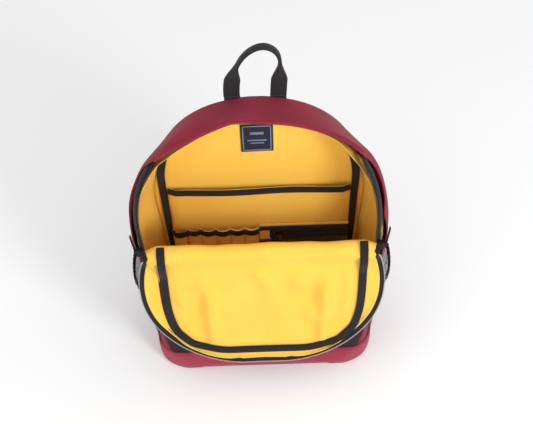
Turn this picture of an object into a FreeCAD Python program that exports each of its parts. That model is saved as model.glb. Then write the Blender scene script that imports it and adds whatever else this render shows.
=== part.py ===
"""Open daypack: panel-loading soft pack with its front panel unzipped and folded down.

Frame: millimetres, +Z up, origin on the ground under the middle of the base.
+X is the pack's left-to-right direction seen from the front, +Y points to the wearer's back.
Every piece is one closed solid and is written to parts/NODE.step.
"""

import FreeCAD
import Part
import math
import os

V = FreeCAD.Vector

# ---- Overall sizes ----
HEIGHT = 391.0            # top seam of the back panel
DEPTH = 150.0             # base, front edge to back edge
BASE_HALF = 150.0         # half width of the base
WIDE_HALF = 168.0         # half width where the sides bulge most
SEAM_HALF = 131.0         # half width of the back panel at its seam
WIDE_Y = 30.0             # depth position of the widest bulge
SPRING_Z = 250.0          # height where the straight sides turn into the arch
CROWN_RISE = 2.0          # how much the crown rises from the back seam to the zip
BASE_CORNER_R = 24.0      # lower edge rounding, seen from the front
BASE_TRIM = 0.4           # taken off below so that the base stands flat
BASE_POWER = 5.0          # plan shape of the base, superellipse power
WIDE_POWER = 2.8          # plan shape at the widest height
ARCH_POWER = 2.15         # shape of the arch

# ---- Main zip mouth and fold ----
HINGE_Y = -30.0           # fold line of the front panel
HINGE_Z = 218.0
MOUTH_TOP_Y = 30.0        # top of the zip mouth
MOUTH_TOP_Z = HEIGHT + 1.0
FLAP_HANG_DEG = 20.5      # open flap, measured from straight down
FOLD_R = 9.0              # rolled fold of fabric
FOLD_GAP = 1.5            # between the roll and the lower front panel
FOLD_SIDE = 4.5           # between the roll's ends and the bag's side
FLAP_START = 11.0         # where the flat part of the flap begins
FLOOR_HALF = 135.0        # half width of the flap's flat floor
FLOOR_SPRING = 20.0       # where the floor's outline begins to curve in
FLOOR_END = 170.0         # length of the floor
FLOOR_POWER = 2.9
FLAP_SLOPE = 0.075        # floor depth per length, away from the fold
FLAP_LIFT = 1.0           # floor's outer face above the zip plane at the fold

# ---- Cloth and trim ----
SHELL = 2.4               # outer cloth with its foam or interlining
LINING = 1.0
BACK_PAD = 8.0            # padded back panel
BOOT = 36.0               # height of the base boot
TAPE_W = 10.0             # zip tape
TAPE_T = 1.2
COIL_W = 2.6              # zip coil
COIL_T = 2.6
ZIP_GAP = 0.4             # half of the space between the two coils when closed
ZIP_START = 2.0           # lower ends of the rear zip, up from the fold
BINDING_W = 11.0          # seam binding
BINDING_T = 2.0
BINDING_FOOT = 24.0       # lowest point of the rear seam binding
BINDING_SIDE = 1.5        # between the binding's foot and the side lining
SKIN_GAP = 0.3            # between pieces that lie on each other
STRIP_T = 1.6             # narrow strip of cloth and lining between floor and zip

# ---- Inside pockets ----
SLEEVE_HALF = 122.5
SLEEVE_TOP = 240.0
SLEEVE_FOOT = 22.0
SLEEVE_ROOM = 6.5
PANEL_T = 1.5
TRIM_H = 12.0             # binding along a pocket's top edge
TRIM_T = 0.9
ORGANISER_TOP = 166.0
ORGANISER_FOOT = 40.0
ORGANISER_ROOM = 6.0
PEN_SLOTS = 6
PEN_SIDE = -2.0           # where the pen slots end and the zipped pocket begins
PEN_BACK_T = 0.8
ZIP_EDGE_H = 4.0          # binding above the pocket's zip
ZIP_INSET = 14.0          # lining left of the pocket's zip
ZIP_END = 2.0             # tape past the coil's left end; twice that at its right
COIL_SINK = 0.4           # coil sunk into its tape
MESH_T = 1.0
LABEL_W = 41.0
LABEL_H = 49.0
LABEL_Z = 330.0
LABEL_T = 0.8

# ---- Side pockets ----
POCKET_FOOT = 26.0
POCKET_TOP = 140.0
POCKET_HEM = 13.0
POCKET_Y = 5.0            # middle of the pocket, front to back
POCKET_SPAN = 52.0        # half length, front to back
POCKET_STAND = 14.0       # how far the pocket stands off at its top
POCKET_FOOT_STAND = 1.0   # and at its foot
POCKET_T = 1.4
HEM_DRAW = 1.0            # elastic hem drawn in at its top
HEM_T = 2.2

# ---- Haul loop ----
LOOP_SPACING = 56.0       # between the two legs' middles
LOOP_RISE = 82.0
LOOP_LEAN = 8.0           # sideways lean of the crown
WEB_W = 20.0
WEB_T = 2.0
GRIP_W = 5.0
GRIP_T = 10.0
LOOP_Y = 76.0

# ---- Shoulder straps ----
PAD_W = 62.0
PAD_T = 10.0
PAD_TOP_X = 47.0
PAD_FOOT_X = 80.0
PAD_TOP_Z = 332.0
PAD_FOOT_Z = 144.0
PAD_TOP_OUT = 15.0        # pad middle behind the back panel, at its top
PAD_MID_OUT = 38.0
PAD_FOOT_OUT = 21.0
PAD_STEPS = 12
PAD_TAPER_STEPS = 3       # how many of the last steps taper
PAD_TAPER = 4.0           # half width lost at each of them
YOKE_HALF = 80.0
YOKE_TOP = 360.0
YOKE_FOOT = 338.0
YOKE_T = 3.5
YOKE_GAP = 2.5            # between the yoke's strap roots and the pads
ROOT_IN = 5.0             # strap root inside the yoke's edges
ROOT_H = 12.0
LOCK_W = 36.0
LOCK_H = 28.0
LOCK_T = 6.0
LOCK_BAR = 5.0
LOCK_SIDE = 4.0           # side rails
LOCK_GAP = 4.0            # between the pad's foot and the buckle
STRAP_WEB_W = 25.0
STRAP_WEB_T = 1.8
ANCHOR_X = 112.0
ANCHOR_Z = 32.0
ANCHOR_H = 26.0
ANCHOR_T = 4.0
ANCHOR_SIDE = 4.0         # anchor past the webbing's edges
WEB_GAP = 1.0
WEB_LIFT = 1.2            # webbing's lower end above the anchor's middle
TAIL_LEN = 95.0
TAIL_GAP = 0.6

# ---- Zip sliders ----
SLIDER_L = 9.5
SLIDER_T = 1.6            # each plate
SLIDER_ROOM = 1.3         # clearance round the coil
SLIDER_START = 0.8        # lower end, up the zip from the fold
SLIDER_TRAVEL = 34.0
BAIL_L = 5.4
BAIL_H = 3.6
BAIL_W = 1.6
BAIL_T = 0.9
PULL_W = 6.0
PULL_L = 26.0
PULL_T = 1.2
PULL_GAP = 0.5
SMALL_SLIDER_L = 8.0
SMALL_PULL_L = 18.0
FRONT_SLIDER_T = 2.0
FRONT_SLIDER_W = 7.0
FRONT_STUD_R = 1.2
FRONT_PULL_W = 5.0
FRONT_PULL_T = 1.2
PULL_LIFT = 0.2

# ---- Front pocket on the flap ----
FRONT_POCKET_HALF = 82.0
FRONT_POCKET_START = 46.0
FRONT_POCKET_END = 130.0
FRONT_POCKET_T = 2.2
FRONT_ZIP_W = 9.0

# ---- Derived places ----
FRONT_Y = -DEPTH / 2
BACK_Y = DEPTH / 2
LEAN = math.atan2(MOUTH_TOP_Y - HINGE_Y, MOUTH_TOP_Z - HINGE_Z)
MOUTH_H = math.hypot(MOUTH_TOP_Y - HINGE_Y, MOUTH_TOP_Z - HINGE_Z)
HANG = math.radians(FLAP_HANG_DEG)
PANEL_Y = BACK_Y - BACK_PAD                       # inner face of the padded back
LINING_Y = PANEL_Y - LINING
SLEEVE_Y = LINING_Y - SLEEVE_ROOM - PANEL_T
ORGANISER_Y = SLEEVE_Y - TRIM_T - SKIN_GAP - ORGANISER_ROOM - PANEL_T
TAPE_BACK = ZIP_GAP + COIL_W + TAPE_W
STEPS = 24


# ---- Shape of the bag ----
def base_half(y):
    """Half width at the ground."""
    if y < 0:
        t = -y / (DEPTH / 2 + 3)
        return BASE_HALF * (1 - t ** BASE_POWER) ** (1 / BASE_POWER)
    return BASE_HALF - (BASE_HALF - SEAM_HALF + 4) * (y / BACK_Y) ** 2.5


def wide_half(y):
    """Half width at the height where the arch begins."""
    if y < WIDE_Y:
        t = (WIDE_Y - y) / (WIDE_Y - FRONT_Y + 3)
        return WIDE_HALF * (1 - t ** WIDE_POWER) ** (1 / WIDE_POWER)
    return WIDE_HALF - (WIDE_HALF - SEAM_HALF) * ((y - WIDE_Y) / (BACK_Y - WIDE_Y)) ** 2.5


def crown(y):
    """Height of the arch."""
    return HEIGHT + CROWN_RISE * ((BACK_Y - y) / (BACK_Y - MOUTH_TOP_Y)) ** 2


def body_half(y, z):
    """Half width of the bag at a depth and a height."""
    if z <= SPRING_Z:
        return base_half(y) + (wide_half(y) - base_half(y)) * z / SPRING_Z
    rise = min(1.0, (z - SPRING_Z) / (crown(y) - SPRING_Z))
    return wide_half(y) * (1 - rise ** ARCH_POWER) ** (1 / ARCH_POWER)


def arch_points(half, top, steps=STEPS):
    """Arch from +X over the crown to -X, as (x, z)."""
    points = []
    for i in range(steps + 1):
        a = math.pi * i / steps
        x = half * math.copysign(abs(math.cos(a)) ** (2 / ARCH_POWER), math.cos(a))
        z = SPRING_Z + (top - SPRING_Z) * math.sin(a) ** (2 / ARCH_POWER) if 0 < i < steps else SPRING_Z
        points.append((x, z))
    return points


def section(y, inset):
    """Closed outline of the bag at one depth."""
    foot = base_half(y) - inset
    wide = wide_half(y) - inset
    r = BASE_CORNER_R - inset
    k = r * (1 - math.sqrt(0.5))

    def at(x, z):
        return V(x, y, z)

    arch = Part.BSplineCurve()
    arch.interpolate([at(x, z) for x, z in arch_points(wide, crown(y) - inset, 16)])
    low = inset - BASE_TRIM
    edges = [
        Part.LineSegment(at(-foot + r, low), at(foot - r, low)).toShape(),
        Part.Arc(at(foot - r, low), at(foot - k, low + k), at(foot, low + r)).toShape(),
        Part.LineSegment(at(foot, low + r), at(wide, SPRING_Z)).toShape(),
        arch.toShape(),
        Part.LineSegment(at(-wide, SPRING_Z), at(-foot, low + r)).toShape(),
        Part.Arc(at(-foot, low + r), at(-foot + k, low + k), at(-foot + r, low)).toShape(),
    ]
    return Part.Wire(edges)


def bag_loft(inset):
    """Solid of the bag's outer shape, moved inwards by inset."""
    stations = (-1.0, -0.82, -0.5, -0.1, 0.4, 0.75, 1.0)
    return Part.makeLoft([section(s * BACK_Y, inset) for s in stations], True, False)


def side_prism(points, half=400.0):
    """Solid with the (y, z) outline, across the whole width or to +-half."""
    wire = Part.makePolygon([V(-half, y, z) for y, z in points + points[:1]])
    return Part.Face(wire).extrude(V(2 * half, 0, 0))


def box(x0, x1, y0, y1, z0, z1):
    return Part.makeBox(x1 - x0, y1 - y0, z1 - z0, V(x0, y0, z0))


def mouth(w, back):
    """(y, z) of a point w up the zip plane and back behind it."""
    y = HINGE_Y + w * math.sin(LEAN) + back * math.cos(LEAN)
    z = HINGE_Z + w * math.cos(LEAN) - back * math.sin(LEAN)
    return y, z


def front_line(inset, reach):
    """(y, z) on the lower front panel's face, moved inwards; reach 0 is the ground, 1 the fold."""
    run_y, run_z = HINGE_Y - FRONT_Y, HINGE_Z
    length = math.hypot(run_y, run_z)
    y = FRONT_Y + run_y * reach + inset * run_z / length
    z = run_z * reach - inset * run_y / length
    return y, z


# ---- Bands: a strip of cloth with thickness along a curve ----
def band(rows):
    """Solid through closed four-point sections."""
    wires = [Part.makePolygon(list(row) + [row[0]]) for row in rows]
    solid = Part.makeLoft(wires, True, True)
    if solid.Volume < 0:
        solid.reverse()
    return solid


def inward(points):
    """In-plane unit normals that point into an arch, for (x, z) or (x, w) points."""
    normals = []
    for i in range(len(points)):
        x0, z0 = points[max(0, i - 1)]
        x1, z1 = points[min(len(points) - 1, i + 1)]
        length = math.hypot(x1 - x0, z1 - z0)
        normals.append((-(z1 - z0) / length, (x1 - x0) / length))
    return normals


def mouth_points(start):
    """Zip line in the mouth plane as (x, w): up one side, over the crown, down the other."""
    top = MOUTH_H - 1.0
    rise = []
    for i in range(STEPS + 1):
        w = start + (top - start) * math.sin(math.pi / 2 * i / STEPS)
        y, z = mouth(w, 0)
        rise.append((body_half(y, z), w))
    rise[-1] = (0.0, top)
    return rise + [(-x, w) for x, w in reversed(rise[:-1])]


def mouth_band(start, back0, back1, out, thickness):
    """Strip along the rear side of the zip line."""
    line = mouth_points(start)
    rows = []
    for (x, w), (nx, nw) in zip(line, inward(line)):
        row = []
        for back, depth in ((back0, -out), (back1, -out), (back1, thickness), (back0, thickness)):
            y, z = mouth(w + nw * depth, back)
            row.append(V(x + nx * depth, y, z))
        rows.append(row)
    return band(rows)


# ---- Flap frame: x across, w down the flap, d away from the opening side ----
def flap_point(x, w, d):
    y = HINGE_Y - w * math.sin(HANG) + d * math.cos(HANG)
    z = HINGE_Z - w * math.cos(HANG) - d * math.sin(HANG)
    return V(x, y, z)


def floor_depth(w):
    """Depth of the flap floor's outer face behind the zip plane."""
    return FLAP_SLOPE * (w - FLAP_START) - FLAP_LIFT


def floor_points():
    """Floor seam of the flap as (x, w), with as many points as the zip line."""
    side = []
    for i in range(STEPS + 1):
        w = FLAP_START + (FLOOR_END - FLAP_START) * math.sin(math.pi / 2 * i / STEPS)
        t = max(0.0, (w - FLOOR_SPRING) / (FLOOR_END - FLOOR_SPRING))
        side.append((FLOOR_HALF * (1 - min(1.0, t) ** FLOOR_POWER) ** (1 / FLOOR_POWER), w))
    side[-1] = (0.0, FLOOR_END)
    return side + [(-x, w) for x, w in reversed(side[:-1])]


def inset(points, amount):
    """Outline moved inwards, kept clear of the fold."""
    moved = []
    for (x, w), (nx, nw) in zip(points, inward(points)):
        moved.append((x + nx * amount, max(FLAP_START, w + nw * amount)))
    return moved


def flap_plate(outline, lift, thickness):
    """Plate on the flap's floor: outline as (x, w), lift above the outer face."""
    def at(x, w, up):
        return flap_point(x, w, floor_depth(w) - up)

    low = Part.makePolygon([at(x, w, lift) for x, w in outline + outline[:1]])
    top = Part.makePolygon([at(x, w, lift + thickness) for x, w in outline + outline[:1]])
    return Part.makeLoft([low, top], True, True)


def strip_band(floor, rim, from_floor, from_rim, thickness):
    """Part of the sloping strip between the floor seam and the zip.

    Each edge is ("floor", mm) or ("rim", mm), measured along the slope.
    """
    up = flap_point(0, 0, -1) - flap_point(0, 0, 0)
    rows = []
    for (x0, w0), (x1, w1) in zip(floor, rim):
        a = flap_point(x0, w0, floor_depth(w0))
        b = flap_point(x1, w1, ZIP_GAP)
        length = (b - a).Length
        slope = (b - a).normalize()
        row = []
        for (edge, distance), rise in ((from_floor, 0), (from_rim, 0), (from_rim, 1), (from_floor, 1)):
            reach = distance if edge == "floor" else length - distance
            row.append(a + slope * reach - up * (rise * thickness))
        rows.append(row)
    return band(rows)


# ---- Output ----
NODES = {}


def keep(name, shape):
    solids = [s for s in shape.Solids if s.Volume > 1.0]
    if not solids:
        raise RuntimeError("no solid in " + name)
    NODES[name] = solids[0] if len(solids) == 1 else Part.makeCompound(solids)


def mirrored(shape):
    return shape.mirror(V(0, 0, 0), V(1, 0, 0))


def pair(name, shape):
    """Keep a right-hand piece and its mirror image."""
    keep(name + "_right", shape)
    keep(name + "_left", mirrored(shape))


# ---- Sub-parts ----
def make_shell():
    outer = [(FRONT_Y, 0), (HINGE_Y, HINGE_Z), mouth(0, TAPE_BACK), mouth(260, TAPE_BACK)]
    outer += [(BACK_Y + 1, 520), (BACK_Y + 1, 0)]
    inner = [front_line(SHELL, -0.1), front_line(SHELL, 1.3), (HINGE_Y + 40, 520)]
    inner += [(BACK_Y + 2, 520), (BACK_Y + 2, -20)]
    cavity = bag_loft(SHELL).common(side_prism(inner))
    shell = bag_loft(0).common(side_prism(outer)).cut(cavity)
    fold_room = Part.makeCylinder(FOLD_R + FOLD_GAP, 800, V(-400, HINGE_Y, HINGE_Z), V(1, 0, 0))
    shell = shell.cut(fold_room)
    slab = side_prism([
        front_line(-5, -0.1),
        front_line(-5, 1.1),
        front_line(SHELL, 1.1),
        front_line(SHELL, -0.1),
    ])
    low = box(-400, 400, -400, 400, -10, BOOT)
    keep("base_boot", shell.common(low))
    upper = shell.cut(low)
    keep("front_panel_lower", upper.common(slab))
    sides = upper.cut(slab)
    keep("gusset_top", sides.common(box(-400, 400, -400, 400, SPRING_Z, 600)))
    keep("side_panel_right", sides.common(box(0, 400, -400, 400, 0, SPRING_Z)))
    keep("side_panel_left", sides.common(box(-400, 0, -400, 400, 0, SPRING_Z)))


def make_lining():
    room = bag_loft(SHELL)
    inside = bag_loft(SHELL + LINING)
    outer = [front_line(SHELL, -0.05), front_line(SHELL, 1)]
    outer += [mouth(4, TAPE_BACK + 1), mouth(260, TAPE_BACK + 1), (PANEL_Y, 520), (PANEL_Y, -20)]
    inner = [front_line(SHELL + LINING, -0.1), front_line(SHELL + LINING, 1.3), (HINGE_Y + 40, 520)]
    inner += [(PANEL_Y + 9, 520), (PANEL_Y + 9, -20)]
    fold_room = Part.makeCylinder(FOLD_R + FOLD_GAP, 800, V(-400, HINGE_Y, HINGE_Z), V(1, 0, 0))
    skin = room.common(side_prism(outer)).cut(inside.common(side_prism(inner))).cut(fold_room)
    keep("gusset_lining", skin)
    keep("back_panel", room.common(box(-400, 400, PANEL_Y, BACK_Y, -10, 500)))
    keep("back_lining", inside.common(box(-400, 400, LINING_Y, PANEL_Y, -10, 500)))


def make_rear_zip():
    coil_out = (COIL_T - TAPE_T) / 2
    coil_in = (COIL_T + TAPE_T) / 2
    keep("rear_zip_tape", mouth_band(ZIP_START, ZIP_GAP + COIL_W, TAPE_BACK, 0.0, TAPE_T))
    keep("rear_zip_coil", mouth_band(ZIP_START, ZIP_GAP, ZIP_GAP + COIL_W, coil_out, coil_in))


def make_seam_binding():
    outer_half = SEAM_HALF + 3
    outer_top = HEIGHT - SHELL - LINING - BINDING_SIDE
    outer = arch_points(outer_half, outer_top)
    inner = arch_points(outer_half - BINDING_W, outer_top - BINDING_W)
    foot_half = body_half(LINING_Y, BINDING_FOOT) - SHELL - LINING - BINDING_SIDE
    outer = [(foot_half, BINDING_FOOT)] + outer + [(-foot_half, BINDING_FOOT)]
    inner_foot = outer_half - BINDING_W
    inner = [(inner_foot, BINDING_FOOT)] + inner + [(-inner_foot, BINDING_FOOT)]
    y0 = LINING_Y - BINDING_T
    y1 = LINING_Y
    rows = []
    for (xa, za), (xb, zb) in zip(outer, inner):
        rows.append([V(xa, y0, za), V(xb, y0, zb), V(xb, y1, zb), V(xa, y1, za)])
    keep("rear_seam_binding", band(rows))


def flat_pocket(x0, x1, y_front, room, foot, top):
    """Sheet that stands off the surface behind it, closed at both sides and below."""
    outer = box(x0, x1, y_front, y_front + PANEL_T + room, foot, top)
    y_room = y_front + PANEL_T
    return outer.cut(box(x0 + PANEL_T, x1 - PANEL_T, y_room, y_room + 99, foot + PANEL_T, top + 9))


def edge_trim(x0, x1, y_front, top):
    """Binding folded over a sheet's top edge."""
    outer = box(x0, x1, y_front - TRIM_T, y_front + PANEL_T + TRIM_T, top - TRIM_H, top + TRIM_T)
    return outer.cut(box(x0 - 1, x1 + 1, y_front, y_front + PANEL_T, top - TRIM_H - 1, top))


def make_sleeve():
    """Laptop sleeve across the back panel, with its bound top edge."""
    room = SLEEVE_ROOM - SKIN_GAP
    sleeve = flat_pocket(-SLEEVE_HALF, SLEEVE_HALF, SLEEVE_Y, room, SLEEVE_FOOT, SLEEVE_TOP)
    keep("laptop_sleeve", sleeve)
    half = SLEEVE_HALF - PANEL_T - TRIM_T - SKIN_GAP
    keep("sleeve_binding", edge_trim(-half, half, SLEEVE_Y, SLEEVE_TOP))


def make_pen_slots():
    y = ORGANISER_Y
    back = y + ORGANISER_ROOM + PANEL_T
    pitch = (PEN_SIDE + SLEEVE_HALF) / PEN_SLOTS
    pens = box(-SLEEVE_HALF, PEN_SIDE, y, back, ORGANISER_FOOT, ORGANISER_TOP)
    foot = ORGANISER_FOOT + PANEL_T
    for i in range(PEN_SLOTS):
        left = pitch * i - SLEEVE_HALF + PANEL_T
        right = pitch * (i + 1) - SLEEVE_HALF - PANEL_T / 2
        pens = pens.cut(box(left, right, y + PANEL_T, back - PEN_BACK_T, foot, ORGANISER_TOP + 9))
    keep("pen_slots", pens)
    trim_foot = ORGANISER_TOP - TRIM_H
    keep("pen_binding", box(-SLEEVE_HALF, PEN_SIDE, y - TRIM_T, y, trim_foot, ORGANISER_TOP))


def make_zip_pocket():
    """Zipped pocket; returns the coil's left end as (x, z)."""
    y = ORGANISER_Y
    x0 = PEN_SIDE + SKIN_GAP
    x1 = SLEEVE_HALF
    back = y + ORGANISER_ROOM + PANEL_T
    y_back = back - PANEL_T
    z_edge = ORGANISER_TOP - ZIP_EDGE_H
    z_mid = z_edge - TAPE_W
    z_low = z_mid - COIL_W - TAPE_W
    x_coil = x0 + ZIP_INSET + ZIP_END
    y_coil = y - COIL_T + COIL_SINK
    keep("zip_pocket_back", box(x0, x1, y_back, back, ORGANISER_FOOT, ORGANISER_TOP))
    keep("zip_pocket_binding", box(x0, x1, y - TRIM_T, y_back, z_edge, ORGANISER_TOP))
    keep("pocket_zip_tape", box(x0 + ZIP_INSET, x1, y, y + PANEL_T, z_low, z_edge))
    keep("pocket_zip_coil", box(x_coil, x1 - 2 * ZIP_END, y_coil, y, z_mid - COIL_W, z_mid))
    keep("mesh_pocket", box(x0, x1, y, y + MESH_T, ORGANISER_FOOT, z_low))
    return x_coil, z_mid - COIL_W / 2


def make_label():
    z0 = LABEL_Z - LABEL_H / 2
    y0 = LINING_Y - LABEL_T
    keep("label", box(-LABEL_W / 2, LABEL_W / 2, y0, LINING_Y, z0, z0 + LABEL_H))


def side_sheet(z0, z1, stand0, stand1, thickness):
    """Sheet round the side of the bag, standing off by more at its top."""
    rows = []
    for i in range(STEPS + 1):
        t = 2 * i / STEPS - 1
        y = POCKET_Y + POCKET_SPAN * t
        bulge = 1 - t ** 4
        low = body_half(y, z0) + 1 + stand0 * bulge
        high = body_half(y, z1) + 1 + stand1 * bulge
        rows.append([V(low, y, z0), V(high, y, z1), V(high + thickness, y, z1), V(low + thickness, y, z0)])
    return band(rows)


def make_side_pockets():
    pocket = side_sheet(POCKET_FOOT, POCKET_TOP, POCKET_FOOT_STAND, POCKET_STAND, POCKET_T)
    pair("side_pocket", pocket)
    hem_top = POCKET_TOP + POCKET_HEM
    hem = side_sheet(POCKET_TOP, hem_top, POCKET_STAND, POCKET_STAND - HEM_DRAW, HEM_T)
    pair("side_pocket_hem", hem)


def make_flap():
    rim = mouth_points(FLAP_START)
    floor = floor_points()
    keep("flap_panel", flap_plate(floor, 0.0, SHELL))
    keep("flap_lining", flap_plate(inset(floor, 2.0), SHELL, LINING))
    tape_edge = COIL_W + TAPE_W
    strip = strip_band(floor, rim, ("floor", SKIN_GAP), ("rim", tape_edge + SKIN_GAP), STRIP_T)
    keep("flap_strip", strip)
    keep("front_zip_tape", strip_band(floor, rim, ("rim", tape_edge), ("rim", COIL_W), TAPE_T))
    keep("front_zip_coil", strip_band(floor, rim, ("rim", COIL_W), ("rim", 0.0), COIL_T))
    rows = []
    for (x0, w0), (x1, w1) in zip(inset(floor, BINDING_W), inset(floor, SKIN_GAP)):
        low0 = floor_depth(w0) - SHELL - LINING
        low1 = floor_depth(w1) - SHELL - LINING
        rows.append([
            flap_point(x0, w0, low0),
            flap_point(x1, w1, low1),
            flap_point(x1, w1, low1 - BINDING_T),
            flap_point(x0, w0, low0 - BINDING_T),
        ])
    keep("flap_binding", band(rows))
    make_fold()


def make_fold():
    """Rolled cloth round the fold line, from the flap over the crest."""
    half = body_half(HINGE_Y, HINGE_Z) - SHELL - FOLD_SIDE
    tube = Part.makeCylinder(FOLD_R, 2 * half, V(-half, HINGE_Y, HINGE_Z), V(1, 0, 0))
    core = Part.makeCylinder(FOLD_R - SHELL, 2 * half + 2, V(-half - 1, HINGE_Y, HINGE_Z), V(1, 0, 0))
    reach = 3 * FOLD_R
    upper = side_prism([
        (HINGE_Y - reach, HINGE_Z - 1),
        (HINGE_Y + reach, HINGE_Z - 1),
        (HINGE_Y + reach, HINGE_Z + reach),
        (HINGE_Y - reach, HINGE_Z + reach),
    ])
    keep("flap_fold", tube.cut(core).common(upper))


def front_pocket_plate(start, end):
    half = FRONT_POCKET_HALF
    outline = [(-half, start), (half, start), (half, end), (-half, end)]
    return flap_plate(outline, -FRONT_POCKET_T - SKIN_GAP, FRONT_POCKET_T)


def make_front_pocket():
    seam = FRONT_POCKET_END - FRONT_ZIP_W
    keep("front_pocket", front_pocket_plate(FRONT_POCKET_START, seam))
    keep("front_pocket_zip", front_pocket_plate(seam + SKIN_GAP, FRONT_POCKET_END))


def make_haul_loop():
    half = LOOP_SPACING / 2
    z0 = HEIGHT + 1.5
    top = HEIGHT + LOOP_RISE
    path = Part.BSplineCurve()
    path.interpolate([
        V(-half, LOOP_Y, z0),
        V(-half + 1, LOOP_Y, z0 + 0.25 * LOOP_RISE),
        V(-half + 5, LOOP_Y, z0 + 0.55 * LOOP_RISE),
        V(LOOP_LEAN - 14, LOOP_Y, top - 7),
        V(LOOP_LEAN, LOOP_Y, top - GRIP_W / 2),
        V(LOOP_LEAN + 11, LOOP_Y, top - 9),
        V(half - 1, LOOP_Y, z0 + 0.5 * LOOP_RISE),
        V(half, LOOP_Y, z0 + 0.25 * LOOP_RISE),
        V(half, LOOP_Y, z0),
    ])
    rows = []
    first, last = path.FirstParameter, path.LastParameter
    for i in range(STEPS + 1):
        t = i / STEPS
        u = first + (last - first) * t
        centre = path.value(u)
        along = path.tangent(u)[0]
        across = V(along.z, 0, -along.x)
        if i in (0, STEPS):
            across = V(1 if along.z > 0 else -1, 0, 0)
        fold = min(1.0, max(0.0, (min(t, 1 - t) - 0.12) / 0.14))
        width = WEB_W + (GRIP_W - WEB_W) * fold
        deep = WEB_T + (GRIP_T - WEB_T) * fold
        corners = ((-1, -1), (1, -1), (1, 1), (-1, 1))
        rows.append([centre + across * (sx * width / 2) + V(0, sy * deep / 2, 0) for sx, sy in corners])
    keep("haul_loop", band(rows))


def pad_x(z):
    """Middle of the shoulder pad across the back."""
    t = (PAD_TOP_Z - z) / (PAD_TOP_Z - PAD_FOOT_Z)
    t = min(1.0, max(0.0, t))
    return PAD_TOP_X + (PAD_FOOT_X - PAD_TOP_X) * t * t * (3 - 2 * t)


def make_pads():
    mid_z = 0.55 * PAD_TOP_Z + 0.45 * PAD_FOOT_Z
    middle = Part.Arc(
        V(0, BACK_Y + PAD_TOP_OUT, PAD_TOP_Z),
        V(0, BACK_Y + PAD_MID_OUT, mid_z),
        V(0, BACK_Y + PAD_FOOT_OUT, PAD_FOOT_Z),
    ).toShape()
    centre = middle.Curve.Center
    first = middle.FirstParameter
    last = middle.LastParameter
    rows = []
    for i in range(PAD_STEPS + 1):
        p = middle.valueAt(first + (last - first) * i / PAD_STEPS)
        out = (p - centre).normalize()
        taper = max(0, i - PAD_STEPS + PAD_TAPER_STEPS) * PAD_TAPER
        half = PAD_W / 2 - taper
        row = []
        for sx, so in ((-1, -1), (1, -1), (1, 1), (-1, 1)):
            row.append(p + V(pad_x(p.z) + sx * half, 0, 0) + out * (so * PAD_T / 2))
        rows.append(row)
    pair("strap_pad", band(rows))


def make_webbing():
    """Ladder locks, lower webbing, anchors and loose tails; returns two places on the webbing."""
    y = BACK_Y + PAD_FOOT_OUT - LOCK_T / 2
    z1 = PAD_FOOT_Z - LOCK_GAP
    z0 = z1 - LOCK_H
    x0 = PAD_FOOT_X - LOCK_W / 2
    x1 = PAD_FOOT_X + LOCK_W / 2
    lock = box(x0, x1, y, y + LOCK_T, z0, z1)
    slot_h = (LOCK_H - 3 * LOCK_BAR) / 2
    for i in range(2):
        low = z0 + LOCK_BAR + i * (slot_h + LOCK_BAR)
        lock = lock.cut(box(x0 + LOCK_SIDE, x1 - LOCK_SIDE, y - 1, y + LOCK_T + 1, low, low + slot_h))
    pair("ladder_lock", lock)

    half = STRAP_WEB_W / 2
    y_web = y - STRAP_WEB_T - SKIN_GAP
    y_end = BACK_Y + SKIN_GAP + (ANCHOR_T - STRAP_WEB_T) / 2 + WEB_LIFT
    z_end = ANCHOR_Z + ANCHOR_H / 2 + WEB_GAP
    stations = (
        (PAD_FOOT_X, y_web, z1 - LOCK_BAR),
        (PAD_FOOT_X, y_web, z0 - 2 * WEB_GAP),
        (ANCHOR_X, y_end, z_end),
    )
    rows = []
    for x, low_y, z in stations:
        high_y = low_y + STRAP_WEB_T
        rows.append([
            V(x - half, low_y, z),
            V(x + half, low_y, z),
            V(x + half, high_y, z),
            V(x - half, high_y, z),
        ])
    pair("strap_webbing", band(rows))
    y0 = BACK_Y + SKIN_GAP
    wide = half + ANCHOR_SIDE
    z0_tab = ANCHOR_Z - ANCHOR_H / 2
    tab = box(ANCHOR_X - wide, ANCHOR_X + wide, y0, y0 + ANCHOR_T, z0_tab, z0_tab + ANCHOR_H)
    pair("anchor_tab", tab)
    tail_y = y + LOCK_T + TAIL_GAP
    tail_top = z0 + LOCK_BAR
    tail = box(
        PAD_FOOT_X - half,
        PAD_FOOT_X + half,
        tail_y,
        tail_y + STRAP_WEB_T,
        tail_top - TAIL_LEN,
        tail_top,
    )
    pair("webbing_tail", tail)
    print("tail pivot", (PAD_FOOT_X, tail_y + STRAP_WEB_T / 2, tail_top))
    return y_end + STRAP_WEB_T / 2, z_end


def make_yoke():
    """Reinforcement across the back with a short root for each shoulder pad."""
    y0 = BACK_Y + SKIN_GAP
    yoke = box(-YOKE_HALF, YOKE_HALF, y0, y0 + YOKE_T, YOKE_FOOT, YOKE_TOP)
    near = BACK_Y + PAD_TOP_OUT - PAD_T / 2
    far = near + PAD_T
    for sign in (-1, 1):
        x0 = sign * PAD_TOP_X - PAD_W / 2
        root = side_prism([
            (y0, YOKE_TOP - ROOT_IN),
            (y0, YOKE_FOOT + ROOT_IN),
            (near, PAD_TOP_Z + YOKE_GAP),
            (far, PAD_TOP_Z + YOKE_GAP),
            (far - 3, PAD_TOP_Z + ROOT_H),
        ])
        yoke = yoke.fuse(root.common(box(x0, x0 + PAD_W, 0, 400, 0, 500)))
    keep("strap_yoke", yoke)
    return near + PAD_T / 2


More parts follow.
